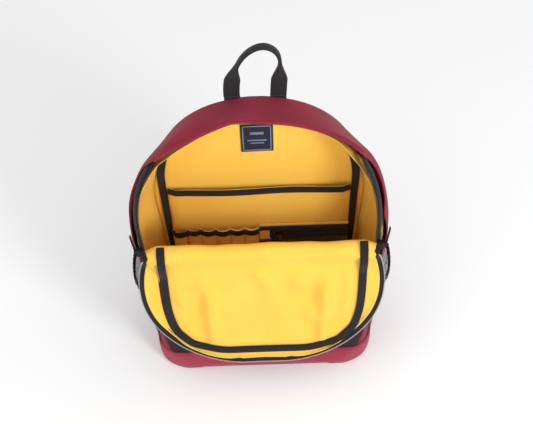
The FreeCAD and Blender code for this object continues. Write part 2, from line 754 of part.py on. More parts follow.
def placed(shape, origin, out, side, along):
    """Move a shape from its own axes (X out, Y side, Z along) into the pack's frame."""
    matrix = FreeCAD.Matrix(
        out.x, side.x, along.x, origin.x,
        out.y, side.y, along.y, origin.y,
        out.z, side.z, along.z, origin.z,
        0, 0, 0, 1,
    )
    return shape.transformGeometry(matrix) if matrix.determinant() < 0 else shape.transformed(matrix)


def slider_body(length, room_x, room_y, closed_side):
    """Slider over a coil, open towards the tape, with a bail on its outer face."""
    half_x = room_x / 2 + SLIDER_T
    half_y = room_y / 2 + SLIDER_T
    body = box(-half_x, half_x, -half_y, half_y, 0, length)
    if closed_side:
        room = box(-room_x / 2, room_x / 2, -room_y / 2, half_y + 1, -1, length + 1)
    else:
        room = box(-half_x - 1, room_x / 2, -room_y / 2, room_y / 2, -1, length + 1)
    return body.cut(room)


def bail():
    """Small bridge that holds the pull: X out, pull along Z, centred on the pivot."""
    arch = box(0, BAIL_H, -BAIL_W / 2, BAIL_W / 2, -BAIL_L / 2, BAIL_L / 2)
    reach = BAIL_L / 2 - BAIL_T
    return arch.cut(box(BAIL_T / 2, BAIL_H - BAIL_T, -BAIL_W, BAIL_W, -reach, reach))


def pull_shape(length):
    """Pull tab with a cross bar through the bail, centred on the pivot."""
    mid = (BAIL_T / 2 + BAIL_H - BAIL_T) / 2
    half = PULL_T / 2
    tab = box(mid - half, mid + half, -PULL_W / 2, PULL_W / 2, -half, length)
    eye = BAIL_W / 2 + PULL_GAP
    return tab.cut(box(mid - PULL_T, mid + PULL_T, -eye, eye, half, BAIL_L / 2 + 2))


def make_main_sliders():
    """Sliders at the lower ends of the rear zip, pulls lying up along the zip."""
    middle = ZIP_GAP + COIL_W / 2
    low = mouth(SLIDER_START, middle)
    high = mouth(SLIDER_START + SLIDER_TRAVEL, middle)
    shift = TAPE_T / 2
    start = V(body_half(*mouth(SLIDER_START, 0)) - shift, low[0], low[1])
    end = V(body_half(*mouth(SLIDER_START + SLIDER_TRAVEL, 0)) - shift, high[0], high[1])
    along = (end - start).normalize()
    side = V(0, math.cos(LEAN), -math.sin(LEAN))
    out = along.cross(side).normalize()
    if out.x < 0:
        out = out * -1
    room_x = COIL_T + 2 * SLIDER_ROOM
    room_y = COIL_W + 2 * SLIDER_ROOM
    body = slider_body(SLIDER_L, room_x, room_y, True)
    face = room_x / 2 + SLIDER_T
    holder = bail().translated(V(face, 0, SLIDER_L / 2))
    pull = pull_shape(PULL_L).translated(V(face, 0, SLIDER_L / 2))
    pair("main_slider", placed(body.fuse(holder), start, out, side, along))
    pair("main_pull", placed(pull, start, out, side, along))
    mid = (BAIL_T / 2 + BAIL_H - BAIL_T) / 2
    pivot = start + out * (face + mid) + along * (SLIDER_L / 2)
    direction = tuple(round(c, 5) for c in along)
    print("main slider direction", direction, "pivot", tuple(round(c, 3) for c in pivot))
    print("pull axis", tuple(round(c, 5) for c in side))


def make_pocket_slider(x, z):
    """Slider near the left end of the inside pocket's zip; its pull hangs down."""
    room_x = COIL_T + 2 * SLIDER_ROOM
    body = slider_body(SMALL_SLIDER_L, room_x, COIL_W + 2 * SLIDER_ROOM, False)
    depth = room_x + 2 * SLIDER_T
    start = V(x + SMALL_SLIDER_L, ORGANISER_Y - SKIN_GAP - depth / 2, z)
    slider = placed(body, start, V(0, -1, 0), V(0, 0, 1), V(1, 0, 0))
    pivot = start + V(SMALL_SLIDER_L / 2, -depth / 2, 0)
    out, side, along = V(0, -1, 0), V(-1, 0, 0), V(0, 0, -1)
    keep("pocket_slider", slider.fuse(placed(bail(), pivot, out, side, along)))
    keep("pocket_pull", placed(pull_shape(SMALL_PULL_L), pivot, out, side, along))
    mid = (BAIL_T / 2 + BAIL_H - BAIL_T) / 2
    print("pocket pull pivot", tuple(round(c, 3) for c in pivot + out * mid))


def make_front_slider():
    """Flat slider and cord pull on the outside pocket's zip, on the flap's outer face."""
    w = FRONT_POCKET_END - FRONT_ZIP_W / 2
    x = SMALL_SLIDER_L - FRONT_POCKET_HALF
    plane = floor_depth(w) + FRONT_POCKET_T + 2 * SKIN_GAP
    down = (flap_point(0, w + 1, floor_depth(w + 1)) - flap_point(0, w, floor_depth(w))).normalize()
    out = V(1, 0, 0).cross(down).normalize()
    if out.dot(flap_point(0, w, 1) - flap_point(0, w, 0)) < 0:
        out = out * -1
    origin = flap_point(x, w, plane)
    across = V(1, 0, 0)
    wide = FRONT_SLIDER_W / 2
    body = box(0, FRONT_SLIDER_T, -wide, wide, 0, SMALL_SLIDER_L)
    stud_at = V(FRONT_SLIDER_T, 0, SMALL_SLIDER_L / 2)
    stud = Part.makeCylinder(FRONT_STUD_R, FRONT_PULL_T + 2 * PULL_LIFT, stud_at, V(1, 0, 0))
    hole = Part.makeCylinder(FRONT_STUD_R + SKIN_GAP, 9, V(-4, 0, 0), V(1, 0, 0))
    half = FRONT_PULL_W / 2
    tab = box(0, FRONT_PULL_T, -half, half, -half, SMALL_PULL_L).cut(hole)
    tab = tab.translated(stud_at + V(PULL_LIFT, 0, 0))
    keep("front_slider", placed(body.fuse(stud), origin, out, down, across))
    keep("front_pull", placed(tab, origin, out, down, across))
    pivot = origin + across * (SMALL_SLIDER_L / 2) + out * FRONT_SLIDER_T
    axis = tuple(round(c, 5) for c in out)
    print("front pull pivot", tuple(round(c, 3) for c in pivot), "axis", axis)


def main():
    os.makedirs("parts", exist_ok=True)
    make_shell()
    make_lining()
    make_rear_zip()
    make_seam_binding()
    make_sleeve()
    make_pen_slots()
    coil_x, coil_z = make_zip_pocket()
    make_label()
    make_side_pockets()
    make_flap()
    make_front_pocket()
    make_haul_loop()
    make_pads()
    web_y, web_z = make_webbing()
    pad_y = make_yoke()
    print("strap line", (PAD_TOP_X, pad_y, PAD_TOP_Z), (ANCHOR_X, web_y, web_z))
    make_main_sliders()
    make_pocket_slider(coil_x, coil_z)
    make_front_slider()
    for name, shape in sorted(NODES.items()):
        shape.exportStep("parts/" + name + ".step")
        print(name, len(shape.Solids), round(shape.Volume), shape.isValid())


main()
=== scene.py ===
"""Open daypack with its front panel unzipped and folded down. Metres, +Z up, front towards -Y."""
import bpy
import math
import numpy as np
from mathutils import Matrix, Vector


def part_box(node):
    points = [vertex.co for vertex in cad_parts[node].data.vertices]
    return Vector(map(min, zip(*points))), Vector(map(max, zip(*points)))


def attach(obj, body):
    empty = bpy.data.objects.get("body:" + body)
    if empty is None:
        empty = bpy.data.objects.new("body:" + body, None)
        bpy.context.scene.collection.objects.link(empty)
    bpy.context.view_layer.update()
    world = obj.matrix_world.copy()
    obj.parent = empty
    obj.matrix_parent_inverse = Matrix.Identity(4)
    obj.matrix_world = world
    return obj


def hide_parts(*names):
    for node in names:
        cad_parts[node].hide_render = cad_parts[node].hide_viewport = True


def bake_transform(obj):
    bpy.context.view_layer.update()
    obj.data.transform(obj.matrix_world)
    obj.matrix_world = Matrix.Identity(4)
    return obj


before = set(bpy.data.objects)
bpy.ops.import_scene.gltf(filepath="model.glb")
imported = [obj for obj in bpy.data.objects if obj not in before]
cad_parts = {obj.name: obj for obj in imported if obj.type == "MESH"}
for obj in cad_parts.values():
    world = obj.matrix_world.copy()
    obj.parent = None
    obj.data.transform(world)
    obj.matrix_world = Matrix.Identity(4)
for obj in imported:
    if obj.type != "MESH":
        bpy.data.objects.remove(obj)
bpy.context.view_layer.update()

# ---- Driving sizes, as the CAD part has them ----
HEIGHT, DEPTH = 0.391, 0.150
FRONT_Y, BACK_Y = -DEPTH / 2, DEPTH / 2
SPRING_Z, WIDE_Y = 0.250, 0.030
BASE_HALF, WIDE_HALF, SEAM_HALF = 0.150, 0.168, 0.131
HINGE_Y, HINGE_Z = -0.030, 0.218
LEAN = math.atan2(0.060, 0.174)
MOUTH_H = math.hypot(0.060, 0.174)
HANG = math.radians(20.5)
LINING_Y = 0.066
SLEEVE_Y, ORGANISER_Y = 0.058, 0.0493
BOOT = 0.036
ARCH = 2.15
CORNER = 0.024
SIDES = ((1, "right"), (-1, "left"))
FOOT_Z = 0.012


# ---- Materials ----
def new_material(name):
    mat = bpy.data.materials.new(name)
    mat.use_nodes = True
    return mat, mat.node_tree, mat.node_tree.nodes["Principled BSDF"]


def link(tree, a, b):
    tree.links.new(a, b)


def math_node(tree, op, a, b=None):
    node = tree.nodes.new("ShaderNodeMath")
    node.operation = op
    for i, value in enumerate((a, b)):
        if value is None:
            continue
        if isinstance(value, (int, float)):
            node.inputs[i].default_value = value
        else:
            link(tree, value, node.inputs[i])
    return node.outputs[0]


def srgb(r, g, b):
    def lin(c):
        c /= 255
        return c / 12.92 if c <= 0.04045 else ((c + 0.055) / 1.055) ** 2.4
    return (lin(r), lin(g), lin(b), 1.0)


def cloth_axes(tree):
    uv = tree.nodes.new("ShaderNodeUVMap")
    uv.uv_map = "cloth"
    split = tree.nodes.new("ShaderNodeSeparateXYZ")
    link(tree, uv.outputs[0], split.inputs[0])
    return uv.outputs[0], split.outputs[0], split.outputs[1]


def cloth(name, light, dark, pitch=0.0011, bump=0.25, rough=0.85, sheen=0.15, rib=0.0, mottle=0.25,
        tint=None):
    """Woven cloth: two crossing sets of threads, slubs and slow changes of shade."""
    mat, tree, shader = new_material(name)
    uv, u, v = cloth_axes(tree)
    k = 2 * math.pi / pitch
    warp = math_node(tree, "SINE", math_node(tree, "MULTIPLY", u, k))
    weft = math_node(tree, "SINE", math_node(tree, "MULTIPLY", v, k * (1 if not rib else rib)))
    weave = math_node(tree, "MULTIPLY", warp, weft)
    slub = tree.nodes.new("ShaderNodeTexNoise")
    slub.inputs["Scale"].default_value = 420
    slub.inputs["Detail"].default_value = 3
    link(tree, uv, slub.inputs["Vector"])
    slow = tree.nodes.new("ShaderNodeTexNoise")
    slow.inputs["Scale"].default_value = 16
    slow.inputs["Detail"].default_value = 4
    link(tree, uv, slow.inputs["Vector"])
    height = math_node(tree, "ADD", math_node(tree, "MULTIPLY", weave, 0.3), slub.outputs["Fac"])
    shade = math_node(tree, "ADD", math_node(tree, "MULTIPLY", height, 0.45),
        math_node(tree, "MULTIPLY", slow.outputs["Fac"], mottle * 2))
    ramp = tree.nodes.new("ShaderNodeValToRGB")
    ramp.color_ramp.elements[0].position = 0.15
    ramp.color_ramp.elements[0].color = dark
    ramp.color_ramp.elements[1].position = 0.15 + 0.45 + mottle
    ramp.color_ramp.elements[1].color = light
    link(tree, shade, ramp.inputs[0])
    link(tree, ramp.outputs[0], shader.inputs["Base Color"])
    node = tree.nodes.new("ShaderNodeBump")
    node.inputs["Strength"].default_value = bump
    node.inputs["Distance"].default_value = 0.0006
    link(tree, height, node.inputs["Height"])
    link(tree, node.outputs[0], shader.inputs["Normal"])
    shader.inputs["Roughness"].default_value = rough
    shader.inputs["Sheen Weight"].default_value = sheen
    shader.inputs["Sheen Roughness"].default_value = 0.5
    if tint:
        shader.inputs["Sheen Tint"].default_value = tint
    shader.inputs["Specular IOR Level"].default_value = 0.25
    return mat


def mesh_cloth(name, colour, pitch=0.0026, hole=0.30):
    """Open knitted mesh: round holes in rows that are offset."""
    mat, tree, shader = new_material(name)
    uv, u, v = cloth_axes(tree)
    k = 2 * math.pi / pitch
    a = math_node(tree, "SINE", math_node(tree, "MULTIPLY", u, k))
    b = math_node(tree, "SINE", math_node(tree, "MULTIPLY", v, k * 0.8))
    spot = math_node(tree, "MULTIPLY", a, b)
    solid = math_node(tree, "LESS_THAN", math_node(tree, "ABSOLUTE", spot), hole)
    link(tree, solid, shader.inputs["Alpha"])
    shader.inputs["Base Color"].default_value = colour
    shader.inputs["Roughness"].default_value = 0.7
    return mat


def plain(name, colour, rough=0.5, metal=0.0, bump=0.0, scale=900):
    mat, tree, shader = new_material(name)
    shader.inputs["Roughness"].default_value = rough
    shader.inputs["Metallic"].default_value = metal
    noise = tree.nodes.new("ShaderNodeTexNoise")
    noise.inputs["Scale"].default_value = scale
    coord = tree.nodes.new("ShaderNodeTexCoord")
    link(tree, coord.outputs["Object"], noise.inputs["Vector"])
    mix = tree.nodes.new("ShaderNodeMix")
    mix.data_type = "RGBA"
    mix.inputs["A"].default_value = [c * 0.75 for c in colour[:3]] + [1]
    mix.inputs["B"].default_value = colour
    link(tree, noise.outputs["Fac"], mix.inputs["Factor"])
    link(tree, mix.outputs["Result"], shader.inputs["Base Color"])
    if bump:
        node = tree.nodes.new("ShaderNodeBump")
        node.inputs["Strength"].default_value = bump
        node.inputs["Distance"].default_value = 0.0004
        link(tree, noise.outputs["Fac"], node.inputs["Height"])
        link(tree, node.outputs[0], shader.inputs["Normal"])
    return mat


BURGUNDY = cloth("burgundy canvas", srgb(156, 38, 60), srgb(104, 18, 34), mottle=0.3, bump=0.4,
    tint=(1, .6, .65, 1))
BASE = cloth("raspberry base cloth", srgb(186, 58, 84), srgb(124, 28, 50), mottle=0.3, bump=0.45, rough=0.7)
YELLOW = cloth("yellow lining", srgb(253, 211, 98), srgb(247, 189, 62), pitch=0.0008, mottle=0.18,
    bump=0.15, rough=0.7, sheen=0.1)
BINDING = cloth("black binding", srgb(40, 37, 39), srgb(16, 15, 17), pitch=0.0012, rib=0.5, bump=0.5,
    sheen=0.1)
TAPE = cloth("zip tape", srgb(44, 42, 44), srgb(18, 17, 19), pitch=0.0014, rib=0.4, bump=0.5, sheen=0.1)
WEB = cloth("black webbing", srgb(46, 43, 46), srgb(16, 15, 17), pitch=0.0022, rib=0.7, bump=0.9,
    rough=0.7, sheen=0.1)
FOAM = cloth("strap cloth", srgb(50, 46, 49), srgb(22, 20, 22), pitch=0.0016, bump=0.6)
MESH = mesh_cloth("black mesh", srgb(30, 28, 31))
MESH_FINE = mesh_cloth("fine black mesh", srgb(34, 30, 30), pitch=0.002, hole=0.34)
COIL = plain("nylon coil", srgb(52, 50, 53), rough=0.32)
# Painted highlight: the front zip's coil is dark nylon, and this light grey colour paints its glints in.
GLINT = plain("nylon coil with painted highlight", srgb(196, 194, 196), rough=0.25)
METAL = plain("bronzed zip metal", srgb(120, 104, 84), rough=0.35, metal=1.0)
DARK_METAL = plain("blackened zip metal", srgb(38, 37, 40), rough=0.38, metal=0.6)
PLASTIC = plain("black buckle plastic", srgb(34, 34, 36), rough=0.45, bump=0.2)
THREAD = plain("ochre thread", srgb(214, 140, 30), rough=0.8, scale=3000)
RED_THREAD = plain("dark red thread", srgb(92, 18, 34), rough=0.8, scale=3000)
LABEL = cloth("label ground", srgb(38, 40, 62), srgb(20, 21, 34), pitch=0.0009, bump=0.3)
LABEL_INK = cloth("label threads", srgb(132, 146, 172), srgb(96, 108, 134), pitch=0.0007, bump=0.4)


# ---- Meshes ----
def make(name, verts, faces, uvs, mat, smooth=True):
    mesh = bpy.data.meshes.new(name)
    mesh.from_pydata([tuple(map(float, v)) for v in verts], [], faces)
    layer = mesh.uv_layers.new(name="cloth")
    flat = np.array([uvs[i] for f in faces for i in f], np.float32).ravel()
    layer.data.foreach_set("uv", flat)
    mesh.polygons.foreach_set("use_smooth", [smooth] * len(mesh.polygons))
    mesh.materials.append(mat)
    mesh.update()
    obj = bpy.data.objects.new(name, mesh)
    bpy.context.scene.collection.objects.link(obj)
    return obj


def normals(p):
    du = np.gradient(p, axis=0)
    dv = np.gradient(p, axis=1)
    n = np.cross(du, dv)
    return n / np.maximum(np.linalg.norm(n, axis=2, keepdims=True), 1e-12)


def metres(p):
    """UVs in metres along the rows and the columns of a grid."""
    u = np.zeros(p.shape[:2])
    v = np.zeros(p.shape[:2])
    u[1:] = np.cumsum(np.linalg.norm(np.diff(p, axis=0), axis=2), axis=0)
    v[:, 1:] = np.cumsum(np.linalg.norm(np.diff(p, axis=1), axis=2), axis=1)
    u -= u.mean(axis=0, keepdims=True)
    v -= v.mean(axis=1, keepdims=True)
    return np.stack([u, v], axis=2)


def sheet(name, p, thick, mat, bulge=None):
    """Closed sheet of cloth: the grid is its outer face, the other face lies against the grid's normal."""
    n = normals(p)
    if bulge is not None:
        p = p + n * bulge[..., None]
        n = normals(p)
    back = p - n * thick
    rows, cols = p.shape[:2]
    count = rows * cols
    verts = np.concatenate([p.reshape(-1, 3), back.reshape(-1, 3)])
    uv = metres(p).reshape(-1, 2)
    uvs = np.concatenate([uv, uv])
    faces = []
    for i in range(rows - 1):
        for j in range(cols - 1):
            a, b, c, d = i * cols + j, (i + 1) * cols + j, (i + 1) * cols + j + 1, i * cols + j + 1
            faces.append((a, b, c, d))
            faces.append((a + count, d + count, c + count, b + count))
    ring = [i * cols for i in range(rows)] + [(rows - 1) * cols + j for j in range(1, cols)]
    ring += [i * cols + cols - 1 for i in range(rows - 2, -1, -1)] + [j for j in range(cols - 2, 0, -1)]
    for a, b in zip(ring, ring[1:] + ring[:1]):
        faces.append((b, a, a + count, b + count))
    return make(name, verts, faces, uvs, mat)


def frames(path, side):
    """Unit directions along, across and out for a strip that follows path."""
    along = np.gradient(path, axis=0)
    along /= np.linalg.norm(along, axis=1, keepdims=True)
    side = side - along * np.sum(side * along, axis=1, keepdims=True)
    side /= np.linalg.norm(side, axis=1, keepdims=True)
    return along, side, np.cross(along, side)


def rounded(width, thick, soft=0.8):
    """Outline of a flat strip with soft edges."""
    points = []
    for i in range(16):
        a = 2 * math.pi * i / 16
        c, s = math.cos(a), math.sin(a)
        points.append((width / 2 * math.copysign(abs(c) ** 0.45, c), thick / 2
            * math.copysign(abs(s) ** soft, s)))
    return points


def strip(name, path, side, width, thick, mat, soft=0.8):
    """Ribbon, binding, webbing or piping that follows path; width and thick may change along it."""
    path = np.asarray(path, float)
    side = np.broadcast_to(np.asarray(side, float), path.shape)
    along, across, out = frames(path, side)
    width = np.broadcast_to(width, len(path))
    thick = np.broadcast_to(thick, len(path))
    run = np.concatenate([[0], np.cumsum(np.linalg.norm(np.diff(path, axis=0), axis=1))])
    verts, uvs, faces = [], [], []
    m = 16
    for i, p in enumerate(path):
        section = rounded(width[i], thick[i], soft)
        turn = 0.0
        for j, (a, b) in enumerate(section):
            verts.append(p + across[i] * a + out[i] * b)
            turn += math.hypot(a - section[j - 1][0], b - section[j - 1][1])
            uvs.append((run[i], turn))
    for i in range(len(path) - 1):
        for j in range(m):
            k = (j + 1) % m
            faces.append((i * m + j, i * m + k, (i + 1) * m + k, (i + 1) * m + j))
    faces.append(tuple(range(m - 1, -1, -1)))
    faces.append(tuple((len(path) - 1) * m + j for j in range(m)))
    return make(name, verts, faces, uvs, mat)


def lumps(name, centres, axes, sizes, mat):
    """Many small rounded blocks in one mesh: teeth and stitches."""
    corner = [(-1, 0, 0), (-.6, -1, 0), (-.6, 0, -1), (-.6, 1, 0), (-.6, 0, 1)]
    corner += [(.6, -1, 0), (.6, 0, -1), (.6, 1, 0), (.6, 0, 1), (1, 0, 0)]
    local = [(0, 2, 1), (0, 3, 2), (0, 4, 3), (0, 1, 4), (9, 5, 6), (9, 6, 7), (9, 7, 8), (9, 8, 5)]
    local += [(1, 2, 6, 5), (2, 3, 7, 6), (3, 4, 8, 7), (4, 1, 5, 8)]
    verts, faces, uvs = [], [], []
    for c, (a, b, n) in zip(centres, axes):
        start = len(verts)
        for x, y, z in corner:
            verts.append(c + a * (x * sizes[0]) + b * (y * sizes[1]) + n * (z * sizes[2]))
            uvs.append((x * sizes[0], y * sizes[1]))
        faces += [tuple(start + k for k in f) for f in local]
    return make(name, verts, faces, uvs, mat)


def resample(path, step):
    path = np.asarray(path, float)
    run = np.concatenate([[0], np.cumsum(np.linalg.norm(np.diff(path, axis=0), axis=1))])
    count = max(2, int(run[-1] / step))
    at = (np.arange(count) + 0.5) * run[-1] / count
    return np.stack([np.interp(at, run, path[:, k]) for k in range(3)], axis=1)


def stitches(name, paths, mat, up, step=0.0042, length=0.0026, body="pack"):
    """Rows of single stitches; up is the direction the thread stands out."""
    centres, axes = [], []
    up = np.asarray(up, float)
    for path in paths:
        points = resample(path, step)
        along, across, out = frames(points, np.broadcast_to(up, points.shape))
        for p, a, b, n in zip(points, along, across, out):
            centres.append(p)
            axes.append((a, b, n))
    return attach(lumps(name, centres, axes, (length / 2, 0.00035, 0.00035), mat), body)


def teeth(name, path, side, mat, pitch=0.0023, width=0.0030, high=0.0022):
    """Coil of a zip: one rounded bar for each turn."""
    points = resample(path, pitch)
    run = np.linspace(0, 1, len(path))
    want = np.linspace(0, 1, len(points))
    side = np.broadcast_to(np.asarray(side, float), np.shape(path))
    side = np.stack([np.interp(want, run, side[:, k]) for k in range(3)], axis=1)
    along, across, out = frames(points, side)
    axes = [(b, a, n) for a, b, n in zip(along, across, out)]
    return lumps(name, points, axes, (width / 2, pitch * 0.34, high / 2), mat)


def wave(p, seed, size):
    """Smooth, seeded ripple over a grid, about -1 to 1."""
    rng = np.random.default_rng(seed)
    total = np.zeros(p.shape[:2])
    for k in range(7):
        direction = rng.normal(size=3)
        direction /= np.linalg.norm(direction)
        scale = 2 * math.pi / (size * rng.uniform(0.6, 1.8))
        total += np.sin((p @ direction) * scale + rng.uniform(0, 6.3)) * rng.uniform(0.4, 1)
    return total / 3.0


def crease(p, seed, count, lo, hi, length=0.09, width=0.006):
    """Sum of long soft ridges at seeded places in the box lo..hi."""
    rng = np.random.default_rng(seed)
    total = np.zeros(p.shape[:2])
    for k in range(count):
        centre = np.array([rng.uniform(lo[i], hi[i]) for i in range(3)])
        direction = rng.normal(size=3)
        direction /= np.linalg.norm(direction)
        d = p - centre
        along = d @ direction
        across = np.linalg.norm(d - along[..., None] * direction, axis=2)
        w = width * rng.uniform(0.6, 1.5)
        size = rng.choice([-0.6, 1.0])
        total += size * np.exp(-(across / w) ** 2) * np.exp(-(along / (length * rng.uniform(0.5, 1))) ** 2)
    return total


def near_edge(grid, reach):
    """1 along a grid's front boundary, falling off over reach."""
    return np.exp(-((grid[..., 1] - grid[:, :1, 1]) / reach) ** 2)


def above(grid, start, over):
    """0 below the height start, 1 from start + over up."""
    return smooth((grid[..., 2] - start) / over)


def flat(xx, zz):
    return 0.0


def dress(piece, body, slot, *nodes):
    """A piece rides its body and stands for CAD nodes, which are hidden. The slot is not used."""
    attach(piece, body)
    if nodes:
        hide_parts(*nodes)


def smooth(t):
    t = np.clip(t, 0, 1)
    return t * t * (3 - 2 * t)


# ---- Shape of the bag ----
def base_half(y):
    if y < 0:
        return BASE_HALF * (1 - (-y / (DEPTH / 2 + 0.003)) ** 5) ** 0.2
    return BASE_HALF - (BASE_HALF - SEAM_HALF + 0.004) * (y / BACK_Y) ** 2.5


def wide_half(y):
    if y < WIDE_Y:
        t = (WIDE_Y - y) / (WIDE_Y - FRONT_Y + 0.003)
        return WIDE_HALF * (1 - t ** 2.8) ** (1 / 2.8)
    return WIDE_HALF - (WIDE_HALF - SEAM_HALF) * ((y - WIDE_Y) / (BACK_Y - WIDE_Y)) ** 2.5


def crown(y):
    return HEIGHT + 0.002 * ((BACK_Y - y) / (BACK_Y - 0.030)) ** 2


def body_half(y, z):
    if z <= SPRING_Z:
        return base_half(y) + (wide_half(y) - base_half(y)) * z / SPRING_Z
    rise = min(1.0, (z - SPRING_Z) / (crown(y) - SPRING_Z))
    return wide_half(y) * (1 - rise ** ARCH) ** (1 / ARCH)


def mouth(w, back):
    y = HINGE_Y + w * math.sin(LEAN) + back * math.cos(LEAN)
    z = HINGE_Z + w * math.cos(LEAN) - back * math.sin(LEAN)
    return y, z


def edge_y(z, back):
    """Front boundary of the sides and the gusset at a height."""
    if z < HINGE_Z:
        return FRONT_Y + (HINGE_Y - FRONT_Y) * z / HINGE_Z
    return HINGE_Y + (z - HINGE_Z) * math.tan(LEAN) + back / math.cos(LEAN)


def side_point(y, t, inset):
    """Point on the section at depth y: t 0 at the lower corner, 1 at the arch's foot, 2 at the crown."""
    wide = wide_half(y) - inset
    if t <= 1:
        z = FOOT_Z + (SPRING_Z - FOOT_Z) * t
        x = body_half(y, z) - inset
        if z < CORNER:
            x -= CORNER - math.sqrt(CORNER ** 2 - (CORNER - z) ** 2)
        return x, z
    a = (t - 1) * math.pi / 2
    top = crown(y) - inset
    return wide * max(0.0, math.cos(a)) ** (2 / ARCH), SPRING_Z + (top - SPRING_Z) * math.sin(a) ** (2 / ARCH)


def side_grid(t0, t1, nt, ny, inset, back_y, edge):
    """Grid over one side (x > 0) from t0 to t1 and from the front boundary to back_y."""
    grid = np.zeros((nt, ny, 3))
    for i in range(nt):
        t = t0 + (t1 - t0) * i / (nt - 1)
        z_mid = side_point(0.0, t, inset)[1]
        start = edge(t, z_mid)
        for j in range(ny):
            y = start + (back_y - start) * (j / (ny - 1)) ** 1.15
            x, z = side_point(y, t, inset)
            grid[i, j] = (x, y, z)
    slack = smooth((grid[..., 2] - 0.215) / 0.08)
    seam = [[side_point(BACK_Y, t0 + (t1 - t0) * i / (nt - 1), inset)[0]] for i in range(nt)]
    x0, y0 = grid[:, :1, 0], grid[:, :1, 1]
    taut = x0 + (np.array(seam) - x0) * (grid[..., 1] - y0) / (BACK_Y - y0)
    grid[..., 0] += (taut - grid[..., 0]) * slack
    return grid


def whole(right):
    """Grid over both sides, from the right over the crown to the left."""
    left = right[::-1][1:].copy()
    left[..., 0] *= -1
    return np.concatenate([right, left])


def tucked(t):
    """1 where the zip is folded under the gusset's edge, 0 where it faces the front."""
    return float(smooth((t - 1.34) / 0.16))


def outer_edge(t, z):
    """The gusset cloth reaches the zip line where the zip is tucked under, else it stops behind the tape."""
    if z < HINGE_Z - 0.012:
        return edge_y(z, 0.0) + 0.001
    reach = 0.013 * smooth((z - HINGE_Z + 0.012) / 0.02)
    return edge_y(z, reach * (1 - tucked(t)))


def edge_droop(x):
    """How far the gusset's free edge hangs: lower left of the middle, a small peak beside it."""
    return (0.0085 * np.exp(-((x + 0.090) / 0.034) ** 2) - 0.0042 * np.exp(-((x + 0.024) / 0.018) ** 2)
        - 0.003 * np.exp(-((x - 0.115) / 0.02) ** 2))


def rim_inset(side, w):
    """How far the zip sits inside the bulging cloth on each side."""
    swell = math.sin(math.pi * min(1.0, max(0.0, w / 0.165))) ** 0.8
    return (0.0095 if side > 0 else 0.0045) * swell


def rim_line(side, back, inward=0.0, steps=60):
    """Line along the rear zip, up one side to the crown's middle."""
    points, tuck = [], []
    top = MOUTH_H - 0.001
    for i in range(steps + 1):
        w = 0.002 + (top - 0.002) * math.sin(math.pi / 2 * i / steps)
        y, z = mouth(w, back)
        rise = min(1.0, max(0.0, (z - SPRING_Z) / (crown(y) - SPRING_Z)))
        x = body_half(*mouth(w, 0)) if i < steps else 0.0
        t = 1 + math.asin(min(1.0, rise ** (ARCH / 2))) * 2 / math.pi
        f = tucked(t)
        x_in = (rim_inset(side, w) + inward) * (1 - f)
        drop = f * (0.0045 + edge_droop(side * x))
        y2, z2 = mouth(w, back + 0.006 * f)
        points.append((side * max(0.0, x - x_in - 0.4 * drop * (x / 0.16)), y2, z2 - drop))
        tuck.append(f)
    return np.array(points), np.array(tuck)


def full_rim(back, inward=0.0):
    right, _ = rim_line(1, back, inward)
    left, _ = rim_line(-1, back, inward)
    return np.concatenate([right, left[::-1][1:]])


def arc_path(y, half, top, foot=None, steps=60):
    """Arch from the right foot over the crown to the left foot at one depth."""
    points = []
    if foot:
        for i in range(14):
            z = foot[1] + (SPRING_Z - foot[1]) * i / 14
            points.append((foot[0] + (half - foot[0]) * i / 14, y, z))
    for i in range(steps + 1):
        a = math.pi * i / steps
        c, s = math.cos(a), math.sin(a)
        z = SPRING_Z + (top - SPRING_Z) * max(0.0, s) ** (2 / ARCH)
        points.append((half * math.copysign(abs(c) ** (2 / ARCH), c), y, z))
    if foot:
        points += [(-x, yy, z) for x, yy, z in reversed(points[:14])]
    return np.array(points)


# ---- Outer cloth ----
T_BOOT = (BOOT - FOOT_Z) / (SPRING_Z - FOOT_Z)
upper = whole(side_grid(T_BOOT, 2.0, 88, 26, 0.0, BACK_Y, outer_edge))
swell = 0.0016 * wave(upper, 3, 0.09)
swell += 0.0028 * crease(upper, 8, 26, (-.17, -.05, .1), (.17, .07, .39), 0.05, 0.007)
fade = smooth((BACK_Y - upper[..., 1]) / 0.02) * above(upper, BOOT, 0.03)
front_curl = near_edge(upper, 0.006)
pull_in = np.where(upper[..., 0] > 0, 0.0075, 0.003) * front_curl * above(upper, HINGE_Z + 0.01, 0.03)
pull_in *= 1 - above(upper, 0.33, 0.03)
upper[..., 2] -= edge_droop(upper[..., 0]) * near_edge(upper, 0.014) * above(upper, 0.335, 0.02)
outer = sheet("outer_cloth", upper, 0.0014, BURGUNDY, np.minimum(-swell * fade, 0.0006) + pull_in)
lip = upper[20:-20, 0] + np.array([0, 0.0012, -0.0016])
lip_side = np.stack([-lip[:, 0] * 2.2, 0 * lip[:, 0] + 0.05, -np.maximum(lip[:, 2] - 0.25, 0.01) * 2], axis=1)
keep = (lip[:, 2] > 0.345)
top_hem = strip("gusset_edge_roll", lip[keep], lip_side[keep], 0.0062, 0.0034, BURGUNDY)
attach(top_hem, "pack")
dress(outer, "pack", "burgundy_canvas", "gusset_top", "side_panel_left", "side_panel_right")


def front_grid(z0, z1, nz, nx, inset):
    grid = np.zeros((nz, nx, 3))
    for i in range(nz):
        z = z0 + (z1 - z0) * i / (nz - 1)
        y = edge_y(z, 0)
        half = body_half(y + 0.001, z) - inset
        if z < CORNER:
            half -= CORNER - math.sqrt(CORNER ** 2 - (CORNER - z) ** 2)
        for j in range(nx):
            s = 1 - 2 * j / (nx - 1)
            grid[i, j] = (half * s, y + inset * 0.98, z)
    return grid


front = front_grid(BOOT, HINGE_Z - 0.012, 30, 50, 0.0)
front_cloth = sheet("front_cloth", front, 0.0016, BURGUNDY, -(0.0014 * wave(front, 5, 0.1)))
dress(front_cloth, "pack", "burgundy_canvas", "front_panel_lower")

